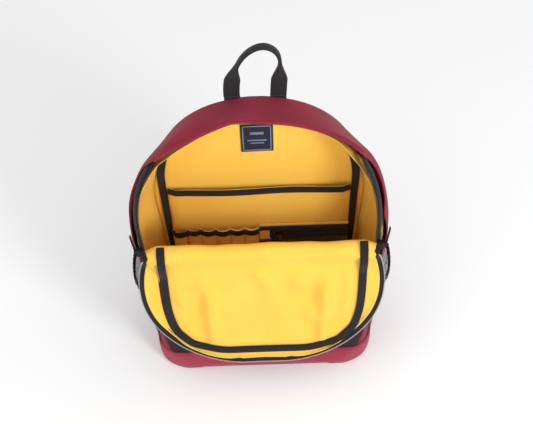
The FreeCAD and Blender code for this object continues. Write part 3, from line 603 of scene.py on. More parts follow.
# The boot: a tray that goes right round, with its floor.
boot_rows = []
for z, dip in ((0.0, 0.024), (0.0, 0.012), (0.0006, 0.0066), (0.0028, 0.0021), (0.0060, -0.0006),
        (0.0120, -0.0018), (0.02, -0.002), (0.028, -0.0018), (BOOT, -0.0006)):
    ring = []
    y0 = max(FRONT_Y + 0.0012, edge_y(z, 0) - 0.0004)
    for s in np.linspace(0, 1, 60):
        y = BACK_Y - (BACK_Y - y0) * s ** 0.8
        ring.append((body_half(y, z) - dip * 0.9, y - (dip * 0.4 if s < 0.05 else 0)))
    edge = ring[-1][0]
    front_half = [(edge * (1 - k / 20), y0 + dip) for k in range(1, 21)]
    ring = ring + front_half
    ring += [(-x, y) for x, y in reversed(ring[:-1])]
    back = [(-ring[0][0] + 2 * ring[0][0] * k / 30, ring[0][1]) for k in range(1, 30)]
    ring += back
    boot_rows.append([(x, min(max(y, FRONT_Y), BACK_Y + 0.001), z) for x, y in ring])
boot = np.array(boot_rows)
floor_ring = np.array([[(x * 0.02, y * 0.02, 0.0) for x, y, z in boot_rows[0]]])
boot = np.concatenate([floor_ring, boot])
boot = np.concatenate([boot, boot[:, :1]], axis=1)
ripple = 0.0006 * wave(boot, 12, 0.05) * smooth(boot[..., 2] / 0.02)
base = sheet("base_boot_cloth", boot[::-1], 0.0016, BASE, ripple[::-1])
dress(base, "pack", "burgundy_canvas", "base_boot")
ring = boot[-1][:-1]
seam_path = np.concatenate([ring, ring[:1]])
seam = strip("boot_seam", seam_path + np.array([0, 0, 0.0008]), (0, 0, 1), 0.0026, 0.0022, BINDING)
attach(seam, "pack")
stitch_ring = ring.copy()
stitch_ring[:, 0] *= 1.004
stitch_ring[:, 1] *= 1.008
stitches("boot_stitches", [stitch_ring + np.array([0, 0, -0.004])], RED_THREAD, (0, 0, 1))


# ---- Lining of the main space ----
def lining_edge(t, z):
    back = 0.0100 * (1 - tucked(t)) + 0.007 * tucked(t)
    return edge_y(z, back if z > HINGE_Z else 0.0) + (0.0034 if z < HINGE_Z else 0.001)


inner = whole(side_grid(-0.04, 2.0, 84, 22, 0.0034, LINING_Y, lining_edge))
inner *= 1 - np.array([0.026, 0, 0.012]) * smooth((inner[..., 2:] - 0.27) / 0.06)
wrinkle = 0.0022 * crease(inner, 21, 34, (-.16, -.05, .03), (.16, .06, .37), 0.055, 0.006)
wrinkle += 0.0012 * wave(inner, 22, 0.07)
in_side = np.where(inner[..., 0] > 0, 0.0125, 0.0075)
draw = in_side * near_edge(inner, 0.012) * above(inner, HINGE_Z + 0.005, 0.03)
draw *= 1 - 0.7 * above(inner, 0.335, 0.03)
inner[..., 0] -= np.sign(inner[..., 0]) * draw
inner[..., 2] -= edge_droop(inner[..., 0]) * near_edge(inner, 0.016) * above(inner, 0.330, 0.02) * 1.1
hold = smooth((LINING_Y - inner[..., 1]) / 0.012) * smooth((inner[..., 1] - inner[:, :1, 1]) / 0.01)
lining = sheet("gusset_lining_cloth", inner[:, ::-1], 0.0007, YELLOW,
    np.minimum(-wrinkle * hold, 0.0004)[:, ::-1])
dress(lining, "pack", "yellow_lining", "gusset_lining")

well = front_grid(0.010, HINGE_Z - 0.010, 30, 44, 0.0038)
slack_in = 0.002 * np.abs(wave(well, 31, 0.06))
front_lining = sheet("front_lining_cloth", well[::-1], 0.0007, YELLOW, slack_in[::-1])
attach(front_lining, "pack")
floor_grid = np.zeros((30, 16, 3))
for i, s in enumerate(np.linspace(-1, 1, 30)):
    for j, y in enumerate(np.linspace(LINING_Y, FRONT_Y + 0.006, 16)):
        floor_grid[i, j] = (s * (base_half(y) - 0.006 - 0.010), y, 0.0052 + 0.0006 * math.sin(60 * s))
floor_lining = sheet("floor_lining_cloth", floor_grid[::-1], 0.0007, YELLOW)
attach(floor_lining, "pack")


def wall(y, inset, z0, nz=40, nx=50):
    grid = np.zeros((nz, nx, 3))
    top = crown(y) - inset - 0.0002
    for i in range(nz):
        z = z0 + (top - z0) * math.sin(math.pi / 2 * i / (nz - 1))
        half = body_half(y, min(z + inset, crown(y))) - inset
        sewn = body_half(BACK_Y, min(z + inset, crown(y))) + 0.02 * (BACK_Y - y)
        half += (min(half, sewn) - half) * float(smooth((z - 0.215) / 0.08))
        if i == nz - 1:
            half = 0.004
        for j in range(nx):
            grid[i, j] = ((1 - 2 * j / (nx - 1)) * max(half, 0.004), y, z)
    return grid


back_wall = wall(LINING_Y, 0.0034, 0.006)
pillow = 0.0010 * wave(back_wall, 41, 0.08)
back_lining = sheet("back_lining_cloth", back_wall, 0.0008, YELLOW, -np.abs(pillow) * 0.6)
dress(back_lining, "pack", "yellow_lining", "back_lining")

# ---- Padded back panel ----
outside = wall(BACK_Y, 0.0002, 0.012, 70, 90)[:, ::-1]
x, z = outside[..., 0], outside[..., 2]
edge_fall = smooth((1 - np.abs(x) / np.maximum(np.abs(x[:, :1]), 1e-6)) / 0.14)
channel = (np.exp(-((np.abs(x) - 0.042) / 0.006) ** 2) + np.exp(-((z - 0.12) / 0.006) ** 2)
    + np.exp(-((z - 0.315) / 0.007) ** 2))
cushion = 0.0038 * edge_fall * (1 - 0.85 * np.clip(channel, 0, 1))
AIR = cloth("padded back mesh", srgb(52, 48, 51), srgb(20, 18, 20), pitch=0.0030, bump=1.0, rough=0.9)
back_pad = sheet("back_panel_pad", outside, 0.0078, AIR, cushion - 0.0008)
dress(back_pad, "pack", "burgundy_canvas", "back_panel")
rim_back = arc_path(BACK_Y + 0.0006, SEAM_HALF - 0.002, HEIGHT - 0.002,
    (body_half(BACK_Y, 0.03) - 0.002, 0.03))
back_piping = strip("back_seam_piping", rim_back, (0, 1, 0), 0.0036, 0.0034, BINDING)
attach(back_piping, "pack")

# ---- Seam binding inside ----
foot_half = body_half(LINING_Y, 0.024) - 0.0049
middle = SEAM_HALF + 0.003 - 0.0055
arch = arc_path(LINING_Y - 0.0014, middle, HEIGHT - 0.0049 - 0.0055, (foot_half - 0.0034, 0.024))
arch[:, 1] -= 0.0008 * (1 + np.sin(np.arange(len(arch)) * 0.9))
binding_width = np.interp(arch[:, 2], [0.024, SPRING_Z], [0.0068, 0.0105])
radial = np.gradient(arch, axis=0)
radial = np.stack([-radial[:, 2], 0 * radial[:, 0], radial[:, 0]], axis=1)
seam_binding = strip("rear_seam_binding_tape", arch, radial, binding_width, 0.0026, BINDING)
dress(seam_binding, "pack", "black_binding", "rear_seam_binding")

# ---- Sleeve, pen slots and zipped pocket ----
SLEEVE_HALF, SLEEVE_TOP, ORG_TOP, PEN_SIDE = 0.1225, 0.240, 0.166, -0.002


def panel(x0, x1, y, z0, z1, nx, nz, shape):
    grid = np.zeros((nz, nx, 3))
    for i, zz in enumerate(np.linspace(z0, z1, nz)):
        for j, xx in enumerate(np.linspace(x1, x0, nx)):
            grid[i, j] = (xx, y + shape(xx, zz), zz)
    return grid


def sleeve_shape(xx, zz):
    return (0.0012 * math.sin(xx * 41) * (zz / SLEEVE_TOP) ** 3
        + 0.004 * smooth(1 - (SLEEVE_HALF - abs(xx)) / 0.012))


sleeve_grid = panel(-SLEEVE_HALF, SLEEVE_HALF, SLEEVE_Y, 0.022, SLEEVE_TOP, 60, 44, sleeve_shape)
sleeve = sheet("laptop_sleeve_cloth", sleeve_grid, 0.0010, YELLOW, 0.0007 * wave(sleeve_grid, 51, 0.05))
dress(sleeve, "pack", "yellow_lining", "laptop_sleeve")
xs = np.linspace(SLEEVE_HALF - 0.001, -SLEEVE_HALF + 0.001, 50)
trim_path = np.array([(v, SLEEVE_Y - 0.0002 + sleeve_shape(v, SLEEVE_TOP), SLEEVE_TOP - 0.0055) for v in xs])
sleeve_trim = strip("sleeve_binding_tape", trim_path, (0, 0, 1), 0.0112, 0.0040, BINDING)
dress(sleeve_trim, "pack", "black_binding", "sleeve_binding")

pitch = (PEN_SIDE + SLEEVE_HALF) / 6


def pleat(xx, zz):
    f = ((xx + SLEEVE_HALF) / pitch) % 1.0
    k = int((xx + SLEEVE_HALF - 1e-6) / pitch)
    lift = 0.0034 * math.sin(math.pi * min(1.0, f / 0.9)) ** 0.7 + 0.0016 * f
    return -lift * smooth((zz - 0.04) / 0.05) + 0.003 * (1 if k == 0 and f < 0.15 else 0)


def pen_top(xx):
    k = min(5, max(0, int((xx + SLEEVE_HALF - 1e-6) / pitch)))
    return (ORG_TOP - (0.0042, 0.0004, 0.0016, 0.0024, 0.0010, 0.0006)[k]
        - 0.0008 * (((xx + SLEEVE_HALF) / pitch) % 1.0))


pen_grid = np.zeros((26, 97, 3))
for j, xx in enumerate(np.linspace(PEN_SIDE, -SLEEVE_HALF, 97)):
    for i, f in enumerate(np.linspace(0, 1, 26)):
        zz = 0.040 + (pen_top(xx) - 0.040) * f
        pen_grid[i, j] = (xx, ORGANISER_Y + 0.002 + pleat(xx, zz), zz)
pens = sheet("pen_slots_cloth", pen_grid, 0.0009, YELLOW)
dress(pens, "pack", "yellow_lining", "pen_slots")
trims = []
for k in range(6):
    a = -SLEEVE_HALF + pitch * k + 0.0006
    b = a + pitch + (0.0012 if k < 5 else -0.001)
    path = []
    for xx in np.linspace(b, a, 12):
        inside = min(xx, -SLEEVE_HALF + pitch * (k + 1) - 1e-5)
        height = pen_top(a + 0.002) - 0.0045 - 0.0006 * k % 2
        path.append((xx, ORGANISER_Y + 0.0014 + pleat(inside, ORG_TOP), height))
    trims.append(strip("pen_binding_%d" % (k + 1), path, (0, 0, 1), 0.0102, 0.0034, BINDING))
for trim in trims:
    dress(trim, "pack", "black_binding")
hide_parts("pen_binding")
rows = []
for k in range(1, 6):
    xx = -SLEEVE_HALF + pitch * k
    heights = np.linspace(0.05, ORG_TOP - 0.012, 12)
    rows.append(np.array([(xx, ORGANISER_Y + 0.0009 + 0.001, zz) for zz in heights]))
stitches("pen_stitches", rows, THREAD, (1, 0, 0), step=0.0034, length=0.0024)

pocket_back_grid = panel(PEN_SIDE, SLEEVE_HALF, ORGANISER_Y + 0.006, 0.040, ORG_TOP, 30, 20, flat)
pocket_back = sheet("zip_pocket_lining", pocket_back_grid, 0.0008, YELLOW)
dress(pocket_back, "pack", "yellow_lining", "zip_pocket_back")
window_grid = panel(PEN_SIDE, 0.014, ORGANISER_Y, 0.135, ORG_TOP - 0.004, 8, 8, flat)
window = sheet("zip_pocket_corner", window_grid, 0.0012, YELLOW)
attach(window, "pack")
xs = np.linspace(SLEEVE_HALF - 0.001, PEN_SIDE + 0.0005, 40)
edge_path = np.array([(v, ORGANISER_Y + 0.0004, ORG_TOP - 0.0030) for v in xs])
pocket_trim = strip("zip_pocket_binding_tape", edge_path, (0, 0, 1), 0.0064, 0.0040, BINDING)
dress(pocket_trim, "pack", "black_binding", "zip_pocket_binding")
tape_lo, tape_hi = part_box("pocket_zip_tape")
coil_lo, coil_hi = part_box("pocket_zip_coil")
coil_z = (coil_lo.z + coil_hi.z) / 2
tape_z = (tape_lo.z + tape_hi.z) / 2
tape_path = np.array([(v, ORGANISER_Y + 0.0006, tape_z) for v in np.linspace(tape_hi.x, tape_lo.x, 40)])
pocket_tape = strip("pocket_zip_tape_cloth", tape_path, (0, 0, 1), tape_hi.z - tape_lo.z, 0.0014, TAPE)
dress(pocket_tape, "pack", "zip_tape", "pocket_zip_tape")
coil_path = np.array([(v, ORGANISER_Y - 0.0008, coil_z) for v in np.linspace(coil_hi.x, coil_lo.x, 60)])
pocket_coil = teeth("pocket_zip_coil_teeth", coil_path, (0, 0, 1), COIL, width=0.0034, high=0.0020)
dress(pocket_coil, "pack", "zip_coil", "pocket_zip_coil")
mesh_grid = panel(PEN_SIDE, SLEEVE_HALF, ORGANISER_Y + 0.0004, 0.040, tape_lo.z + 0.001, 44, 26,
    lambda xx, zz: 0.0007 * math.sin(xx * 70 + zz * 30))
mesh_pocket = sheet("mesh_pocket_cloth", mesh_grid, 0.0005, MESH_FINE)
dress(mesh_pocket, "pack", "black_mesh", "mesh_pocket")

# ---- Label ----
low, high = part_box("label")
label_grid = panel(low.x, high.x, low.y - 0.0002, low.z, high.z, 12, 12,
    lambda xx, zz: 0.0003 * math.sin(xx * 120))
label = sheet("label_cloth", label_grid, 0.0008, LABEL)
dress(label, "pack", "woven_label", "label")
cx, cz = (low.x + high.x) / 2, (low.z + high.z) / 2
hx, hz = (high.x - low.x) / 2 - 0.003, (high.z - low.z) / 2 - 0.003
marks = [(cx, cz + hz, hx, 0.0008), (cx, cz - hz, hx, 0.0008), (cx + hx, cz, 0.0008, hz),
    (cx - hx, cz, 0.0008, hz)]
marks += [(cx, cz + 0.009, hx * 0.5, 0.0022), (cx, cz - 0.0035, hx * 0.7, 0.0012),
    (cx, cz - 0.0085, hx * 0.5, 0.0010)]
for k, (mx, mz, wx, wz) in enumerate(marks):
    grid = panel(mx - wx, mx + wx, low.y - 0.0006, mz - wz, mz + wz, 6, 4, flat)
    mark = sheet("label_mark_%d" % (k + 1), grid, 0.0006, LABEL_INK)
    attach(mark, "pack")

# ---- Rear zip ----
tape_in = full_rim(0.0026, 0.0050)
tape_out = full_rim(0.0100)
centre_line = (tape_in + tape_out) / 2
rear_tape = sheet("rear_zip_tape_cloth", np.stack([tape_in, centre_line, tape_out], axis=1), 0.0012, TAPE)
dress(rear_tape, "pack", "zip_tape", "rear_zip_tape")
coil_line = full_rim(0.0014, 0.0060)
rear_coil = teeth("rear_zip_coil_teeth", coil_line, tape_out - tape_in, COIL)
dress(rear_coil, "pack", "zip_coil", "rear_zip_coil")


# ---- Flap ----
FLAP_START, FLOOR_END, FLOOR_HALF, FLOOR_SPRING = 0.011, 0.170, 0.135, 0.020


def flap_point(x, w, d):
    """Point on the hanging flap: w down from the hinge, d away from the lining's side."""
    c, s = math.cos(HANG), math.sin(HANG)
    return (x, HINGE_Y - w * s + d * c, HINGE_Z - w * c - d * s)


def floor_depth(w):
    return 0.075 * (w - FLAP_START) - 0.001


def floor_half(w):
    t = min(1.0, max(0.0, (w - FLOOR_SPRING) / (FLOOR_END - FLOOR_SPRING)))
    return FLOOR_HALF * (1 - t ** 3.8) ** (1 / 3.8)


def crest_lift(w):
    """The flap's face climbs onto the rolled fold."""
    return 0.0100 * math.exp(-(max(w, 0.0) / 0.011) ** 2)


RIM_START = 0.003


def floor_line(steps=60):
    points = []
    for i in range(steps + 1):
        w = RIM_START + (FLOOR_END - RIM_START) * math.sin(math.pi / 2 * i / steps)
        points.append((floor_half(w) if i < steps else 0.0, w))
    return points + [(-x, w) for x, w in reversed(points[:-1])]


def rim_points(steps=60):
    points = []
    top = MOUTH_H - 0.001
    for i in range(steps + 1):
        w = RIM_START + (top - RIM_START) * math.sin(math.pi / 2 * i / steps)
        points.append((body_half(*mouth(w, 0)) - 0.006 * math.exp(-w / 0.007) if i < steps else 0.0, w))
    return points + [(-x, w) for x, w in reversed(points[:-1])]


def flap_grid(lift, shrink, nw, nx, w0=FLAP_START):
    grid = np.zeros((nw, nx, 3))
    end = FLOOR_END - shrink
    for i in range(nw):
        w = w0 + (end - w0) * math.sin(math.pi / 2 * i / (nw - 1))
        half = max(0.004, floor_half(w * FLOOR_END / end if w > 0.1 else w) - shrink)
        depth = floor_depth(w) - lift - crest_lift(w) * (lift > 0)
        for j in range(nx):
            grid[i, j] = flap_point(half * (1 - 2 * j / (nx - 1)), w, depth)
    return grid


flap_outer = flap_grid(0.0, 0.0, 44, 60)
outer_flap = sheet("flap_panel_cloth", flap_outer, 0.0018, BURGUNDY, -0.0008 * wave(flap_outer, 61, 0.07))
LEAN_IN = math.atan2(HINGE_Y - FRONT_Y, HINGE_Z)


def bend(piece, slot, *nodes):
    """A piece that is sewn to both the pack and the flap, already shaped over the fold, keeps no parent: its
    transform is baked and the CAD nodes it stands for are hidden. The slot is not used.
    """
    if nodes:
        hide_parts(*nodes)
    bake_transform(piece)


def crest_line(r, inside, steps):
    """(y, z) up the inside of the bag and round the fold, as far as the flap's own face."""
    points = []
    total = inside + r * 2.55
    for i in range(steps):
        d = total * i / steps
        if d < inside:
            below = inside - d
            points.append((HINGE_Y + r - below * math.sin(LEAN_IN), HINGE_Z - below * math.cos(LEAN_IN)))
        else:
            angle = (d - inside) / r
            points.append((HINGE_Y + r * math.cos(angle), HINGE_Z + r * math.sin(angle) * 1.25))
    return points


def over_fold(lift, r, inside, half, cols, rows=26, shrink=0.002):
    """Grid that comes up inside the bag, turns over the fold and runs down the flap."""
    crest = crest_line(r, inside, rows)
    down = flap_grid(lift, shrink, 60, cols, w0=0.004)
    grid = np.zeros((rows + 60, cols, 3))
    for i, (y, z) in enumerate(crest):
        for j in range(cols):
            t = 1 - 2 * j / (cols - 1)
            climb = min(1.0, i / rows * 1.6)
            sag = climb * (0.0011 * math.sin(7 * t + 0.6) + 0.0006 * math.sin(19 * t))
            shoulder = 0.007 * float(smooth((abs(t) - 0.88) / 0.12)) * climb
            grid[i, j] = (half * t, y, z + sag - shoulder)
    grid[rows:] = down
    ease = smooth(1 - (np.arange(60) / 10.0))
    wide = (half - np.abs(down[:, :1, 0])) * ease[:, None] * 0.8
    grid[rows:, :, 0] += wide * (1 - 2 * np.arange(cols) / (cols - 1))
    return grid


half_fold = body_half(HINGE_Y, HINGE_Z) - 0.0055
face = over_fold(0.0036, 0.0105, 0.030, half_fold, 90)[:, ::-1]
fx, fw = face[..., 0], (HINGE_Z - face[..., 2]) / math.cos(HANG)
fw[:26] = 0
rim_half = np.vectorize(floor_half)(np.clip(fw, 0, FLOOR_END))
grow = (smooth((fw - 0.015) / 0.03) * smooth((0.160 - fw) / 0.02)
    * smooth((rim_half - 0.012 - np.abs(fx)) / 0.016))
ridge = 0.0135 * np.exp(-((fx + 0.070 - 0.06 * (fw - 0.09)) / 0.0105) ** 2) * smooth((fw - 0.03) / 0.05)
ridge += 0.0125 * np.exp(-((fx - 0.083 + 0.05 * (fw - 0.09)) / 0.0100) ** 2) * smooth((fw - 0.02) / 0.05)
ridge += (0.0050 * np.exp(-((fx - 0.012 - 0.2 * (fw - 0.07)) / 0.016) ** 2)
    * np.exp(-((fw - 0.05) / 0.05) ** 2))
ridge += (0.0085 * crease(face, 66, 26, (-.13, -.09, .06), (.13, -.03, .21), 0.05, 0.009)
    + 0.0014 * wave(face, 67, 0.05))
flap_lining = sheet("flap_lining_cloth", face, 0.0008, YELLOW, np.maximum(ridge * grow, -0.0012))
bend(flap_lining, "yellow_lining", "flap_lining")
fold = over_fold(0.0012, 0.0088, 0.012, half_fold, 60)[:36, ::-1]
fold_outer = sheet("fold_outer_cloth", fold, 0.0012, BURGUNDY)
bend(fold_outer, "burgundy_canvas", "flap_fold")
dress(outer_flap, "flap", "burgundy_canvas", "flap_panel")

floor = floor_line()
rim = rim_points()
a = np.array([flap_point(x, w, floor_depth(w) - crest_lift(w)) for x, w in floor])
b = np.array([flap_point(x, w, 0.0004 - 0.8 * crest_lift(w)) for x, w in rim])
up = np.array(flap_point(0, 0, -1)) - np.array(flap_point(0, 0, 0))
slope = b - a
length = np.linalg.norm(slope, axis=1, keepdims=True)
slope = slope / length


def slope_grid(d0, d1, rise, columns=4):
    """Grid over the flap's sloping side, from d0 to d1 out from its floor."""
    steps = [d0 + (d1 - d0) * k / (columns - 1) for k in range(columns)]
    return np.stack([a + slope * d + up * rise for d in steps], axis=1)


strip_in = slope_grid(0.0, length - 0.0080, 0.0026, 8)
puff = (0.0016 * np.sin(np.linspace(0, math.pi, 8))[None, :] * np.ones((len(a), 1))
    + 0.0006 * wave(strip_in, 81, 0.03))
flap_strip = sheet("flap_strip_cloth", strip_in[:, ::-1], 0.0020, YELLOW, puff[:, ::-1])
flap_side = sheet("flap_side_cloth", slope_grid(-0.0012, length - 0.0080, -0.0004, 8), 0.0008, BURGUNDY)
dress(flap_side, "flap", "burgundy_canvas")
front_tape = sheet("front_zip_tape_cloth", slope_grid(length - 0.0110, length - 0.0022, 0.0014)[:, ::-1],
    0.0012, TAPE)
# The front zip's teeth use the light grey painted highlight colour.
front_coil = teeth("front_zip_coil_teeth", slope_grid(length - 0.0016, length - 0.0012, 0.0012, 2)[:, 0],
    slope, GLINT)
for piece, node, slot in ((flap_strip, "flap_strip", "yellow_lining"),
        (front_tape, "front_zip_tape", "zip_tape"), (front_coil, "front_zip_coil", "zip_coil")):
    dress(piece, "flap", slot, node)

bind = []
for x, w in floor:
    w1 = min(w, FLOOR_END) - 0.0055 * smooth((w - 0.10) / 0.07)
    bind.append(flap_point(x * 0.962 + 0.002, w1, floor_depth(w1) - 0.0054 - crest_lift(w1)))
bind = np.array(bind)
bind[:, 2] += 0.0010 * np.sin(np.arange(len(bind)) * 0.55) * smooth((0.16 - bind[:, 2]) / 0.05)
crest_ends = []
for side in (1, -1):
    edge = bind[0 if side > 0 else -1]
    turn = (1.5, 1.75, 2.0, 2.25, 2.45)
    end = [(edge[0], HINGE_Y + 0.0128 * math.cos(k), HINGE_Z + 0.0158 * math.sin(k)) for k in turn]
    end.append((edge[0], HINGE_Y - 0.0150, HINGE_Z - 0.0010))
    end.append((edge[0], HINGE_Y - 0.0172, HINGE_Z - 0.0095))
    crest_ends.append(end)
bind = np.array(crest_ends[0] + list(bind[7:-7]) + crest_ends[1][::-1])
bind = resample(bind, 0.0024)
outwards = np.array(flap_point(0, 0, -1)) - np.array(flap_point(0, 0, 0))
outwards = np.broadcast_to(outwards, bind.shape).copy()
outwards[bind[:, 2] > HINGE_Z + 0.008] = (0, -0.2, 1)
radial = np.cross(np.gradient(bind, axis=0), outwards)
flap_binding = strip("flap_binding_tape", bind, radial, 0.0108, 0.0036, BINDING)
bend(flap_binding, "black_binding", "flap_binding")

# ---- Zip ends at the fold ----
for side, tag in SIDES:
    rear = rim_line(side, 0.0080)[0][1]
    front_end = slope_grid(length - 0.0066, length - 0.0060, 0.0014, 2)[0 if side > 0 else -1, 0]
    over = np.array([side * 0.1515, HINGE_Y - 0.0030, HINGE_Z + 0.0085])
    before = rear * 0.5 + over * 0.5 + np.array([side * 0.0012, 0.0012, 0])
    after = over * 0.4 + front_end * 0.6 + np.array([side * 0.0008, -0.0012, 0.0006])
    knee = resample(np.array([rear, before, over, after, front_end]), 0.0012)
    bridge = strip("fold_zip_tape_" + tag, knee, (side, -0.5, 0.3), 0.0088, 0.0014, TAPE)
    bend(bridge, "zip_tape")


# ---- Pocket on the flap's outer face ----
def pocket_grid(w0, w1, half, swell, nw=26, nx=44):
    grid = np.zeros((nw, nx, 3))
    for i, w in enumerate(np.linspace(w0, w1, nw)):
        for j in range(nx):
            t = 1 - 2 * j / (nx - 1)
            puff = swell * (1 - t ** 6) * smooth(i / 3) * smooth((nw - 1 - i) / 3)
            grid[i, j] = flap_point(half * t, w, floor_depth(w) + 0.0012 + puff)
    return grid


front_pocket = sheet("front_pocket_cloth", pocket_grid(0.046, 0.121, 0.082, 0.0016), 0.0010, BURGUNDY)
front_zip = sheet("front_pocket_zip_tape", pocket_grid(0.1213, 0.130, 0.082, 0.0008, 8), 0.0010, TAPE)
ZIP_W = 0.1257
zip_depth = floor_depth(ZIP_W) + 0.0024
zip_row = np.array([flap_point(x, ZIP_W, zip_depth) for x in np.linspace(0.080, -0.080, 60)])
down_flap = np.array(flap_point(0, 1, 0)) - np.array(flap_point(0, 0, 0))
front_coil2 = teeth("front_pocket_coil", zip_row, down_flap, COIL, width=0.0030, high=0.0012)
for piece, node, slot in ((front_pocket, "front_pocket", "burgundy_canvas"),
        (front_zip, "front_pocket_zip", "zip_tape"), (front_coil2, None, "zip_coil")):
    dress(piece, "flap", slot)
    if node:
        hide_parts(node)

# ---- Haul loop ----
LOOP_Y, TOP = 0.076, HEIGHT + 0.082
z0 = HEIGHT + 0.0015
knots = [(-.0285, z0), (-.0275, z0 + .021), (-.0208, z0 + .0475), (-.004, TOP - .0085),
    (.0125, TOP - .0026), (.0255, TOP - .0105), (.0305, z0 + .0470), (.029, z0 + .021), (.028, z0)]
knots = np.array(knots)
chord = np.concatenate([[0], np.cumsum(np.linalg.norm(np.diff(knots, axis=0), axis=1))])


def spline(at, xs, ys):
    """Natural cubic through the knots."""
    n = len(xs)
    h = np.diff(xs)
    m = np.zeros((n, n))
    r = np.zeros(n)
    m[0, 0] = m[-1, -1] = 1
    for i in range(1, n - 1):
        m[i, i - 1], m[i, i], m[i, i + 1] = h[i - 1], 2 * (h[i - 1] + h[i]), h[i]
        r[i] = 6 * ((ys[i + 1] - ys[i]) / h[i] - (ys[i] - ys[i - 1]) / h[i - 1])
    k = np.linalg.solve(m, r)
    i = np.clip(np.searchsorted(xs, at) - 1, 0, n - 2)
    a, b = xs[i + 1] - at, at - xs[i]
    return ((k[i] * a ** 3 + k[i + 1] * b ** 3) / (6 * h[i]) + (ys[i] / h[i] - k[i] * h[i] / 6) * a
        + (ys[i + 1] / h[i] - k[i + 1] * h[i] / 6) * b)


at = np.linspace(0, chord[-1], 90)
loop = np.stack([spline(at, chord, knots[:, 0]), np.full(90, LOOP_Y), spline(at, chord, knots[:, 1])], axis=1)
t = at / chord[-1]
fold = smooth((np.minimum(t, 1 - t) - 0.14) / 0.15)
width = 0.0200 + (0.0046 - 0.0200) * fold
deep = 0.0022 + (0.0100 - 0.0022) * fold
tangent = np.gradient(loop, axis=0)
cross = np.stack([tangent[:, 2], np.zeros(90), -tangent[:, 0]], axis=1)
haul = strip("haul_loop_webbing", loop, cross, width, deep, WEB)
dress(haul, "haul_loop", "black_webbing", "haul_loop")

for side, tag in SIDES:
    line = [(side * 0.028, LOOP_Y + 0.0008, zz) for zz in np.linspace(z0 + 0.0004, z0 - 0.018, 10)]
    root = strip("haul_loop_root_" + tag, line, (1, 0, 0), 0.0200, 0.0022, WEB)
    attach(root, "pack")

# ---- Straps ----
def arc_through(p, q, r, steps):
    """Circle through three (y, z) points, from p to r."""
    (ax, ay), (bx, by), (cx, cy) = p, q, r
    d = 2 * (ax * (by - cy) + bx * (cy - ay) + cx * (ay - by))
    ux = ((ax * ax + ay * ay) * (by - cy) + (bx * bx + by * by) * (cy - ay) + (cx * cx + cy * cy)
        * (ay - by)) / d
    uy = ((ax * ax + ay * ay) * (cx - bx) + (bx * bx + by * by) * (ax - cx) + (cx * cx + cy * cy)
        * (bx - ax)) / d
    radius = math.hypot(ax - ux, ay - uy)
    start, end = math.atan2(ay - uy, ax - ux), math.atan2(cy - uy, cx - ux)
    return [(ux + radius * math.cos(start + (end - start) * i / steps), uy + radius
        * math.sin(start + (end - start) * i / steps)) for i in range(steps + 1)]


pad_line = arc_through((BACK_Y + .015, .332), (BACK_Y + .038, 0.55 * .332 + 0.45 * .144),
    (BACK_Y + .021, .144), 40)
for side, tag in SIDES:
    path, widths = [], []
    for i, (y, z) in enumerate(pad_line):
        s = min(1.0, max(0.0, (.332 - z) / (.332 - .144)))
        path.append((side * (.047 + .033 * s * s * (3 - 2 * s)), y, z))
        widths.append(.062 - .024 * max(0.0, (i - 30) / 10))
    path = np.array(path)
    pad = strip("strap_pad_foam_" + tag, path, (1, 0, 0), np.array(widths), 0.0100, FOAM, soft=0.55)
    dress(pad, "strap_" + tag, "strap_foam_cloth", "strap_pad_" + tag)
    for edge_side in (-1, 1):
        line = path + np.stack([np.array(widths) / 2 * edge_side, np.zeros(41), np.zeros(41)], axis=1)
        piping = strip("strap_edge_%s_%s" % (tag, "outer" if edge_side * side > 0 else "inner"), line,
            (0, 1, 0), 0.0056, 0.0030, BINDING)
        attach(piping, "strap_" + tag)
    rider = path[6:32] + np.array([0, 0.0056, 0])
    ladder = strip("strap_rider_" + tag, rider, (1, 0, 0), 0.020, 0.0014, WEB)
    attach(ladder, "strap_" + tag)
    low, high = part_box("strap_webbing_" + tag)
    lock_lo, lock_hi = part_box("ladder_lock_" + tag)
    x_top = (lock_lo.x + lock_hi.x) / 2
    x_low = side * 0.112
    run = [(x_top, high.y - 0.0009, high.z), (x_top, high.y - 0.0009, lock_lo.z - 0.002),
        (x_low, low.y + 0.0009, low.z)]
    line = []
    for (p, q) in zip(run, run[1:]):
        for k in range(12):
            line.append(tuple(p[n] + (q[n] - p[n]) * k / 12 for n in range(3)))
    line.append(run[-1])
    webbing = strip("strap_webbing_cloth_" + tag, line, (1, 0, 0), 0.025, 0.0018, WEB)
    dress(webbing, "strap_" + tag, "black_webbing", "strap_webbing_" + tag)
    low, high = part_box("webbing_tail_" + tag)
    line = [((low.x + high.x) / 2, (low.y + high.y) / 2, z) for z in np.linspace(high.z, low.z, 24)]
    tail = strip("webbing_tail_cloth_" + tag, line, (1, 0, 0), 0.025, 0.0018, WEB)
    dress(tail, "tail_" + tag, "black_webbing", "webbing_tail_" + tag)
    low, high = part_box("anchor_tab_" + tag)
    line = [((low.x + high.x) / 2, (low.y + high.y) / 2, z) for z in np.linspace(low.z, high.z, 12)]
    anchor = strip("anchor_tab_cloth_" + tag, line, (1, 0, 0), high.x - low.x, high.y - low.y, BURGUNDY)
    dress(anchor, "pack", "burgundy_canvas", "anchor_tab_" + tag)
low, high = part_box("strap_yoke")
line = [(v, BACK_Y + 0.0025, 0.349) for v in np.linspace(0.080, -0.080, 24)]
yoke = strip("strap_yoke_cloth", line, (0, 0, 1), 0.022, 0.0038, BURGUNDY)
dress(yoke, "pack", "burgundy_canvas", "strap_yoke")
for side, tag in SIDES:
    line = [(side * 0.047, BACK_Y + 0.003 + 0.012 * s, 0.350 - 0.0152 * s ** 0.7) for s in np.linspace(0,
        1, 12)]
    root = strip("strap_root_" + tag, line, (1, 0, 0), 0.061, 0.0085, FOAM)
    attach(root, "pack")

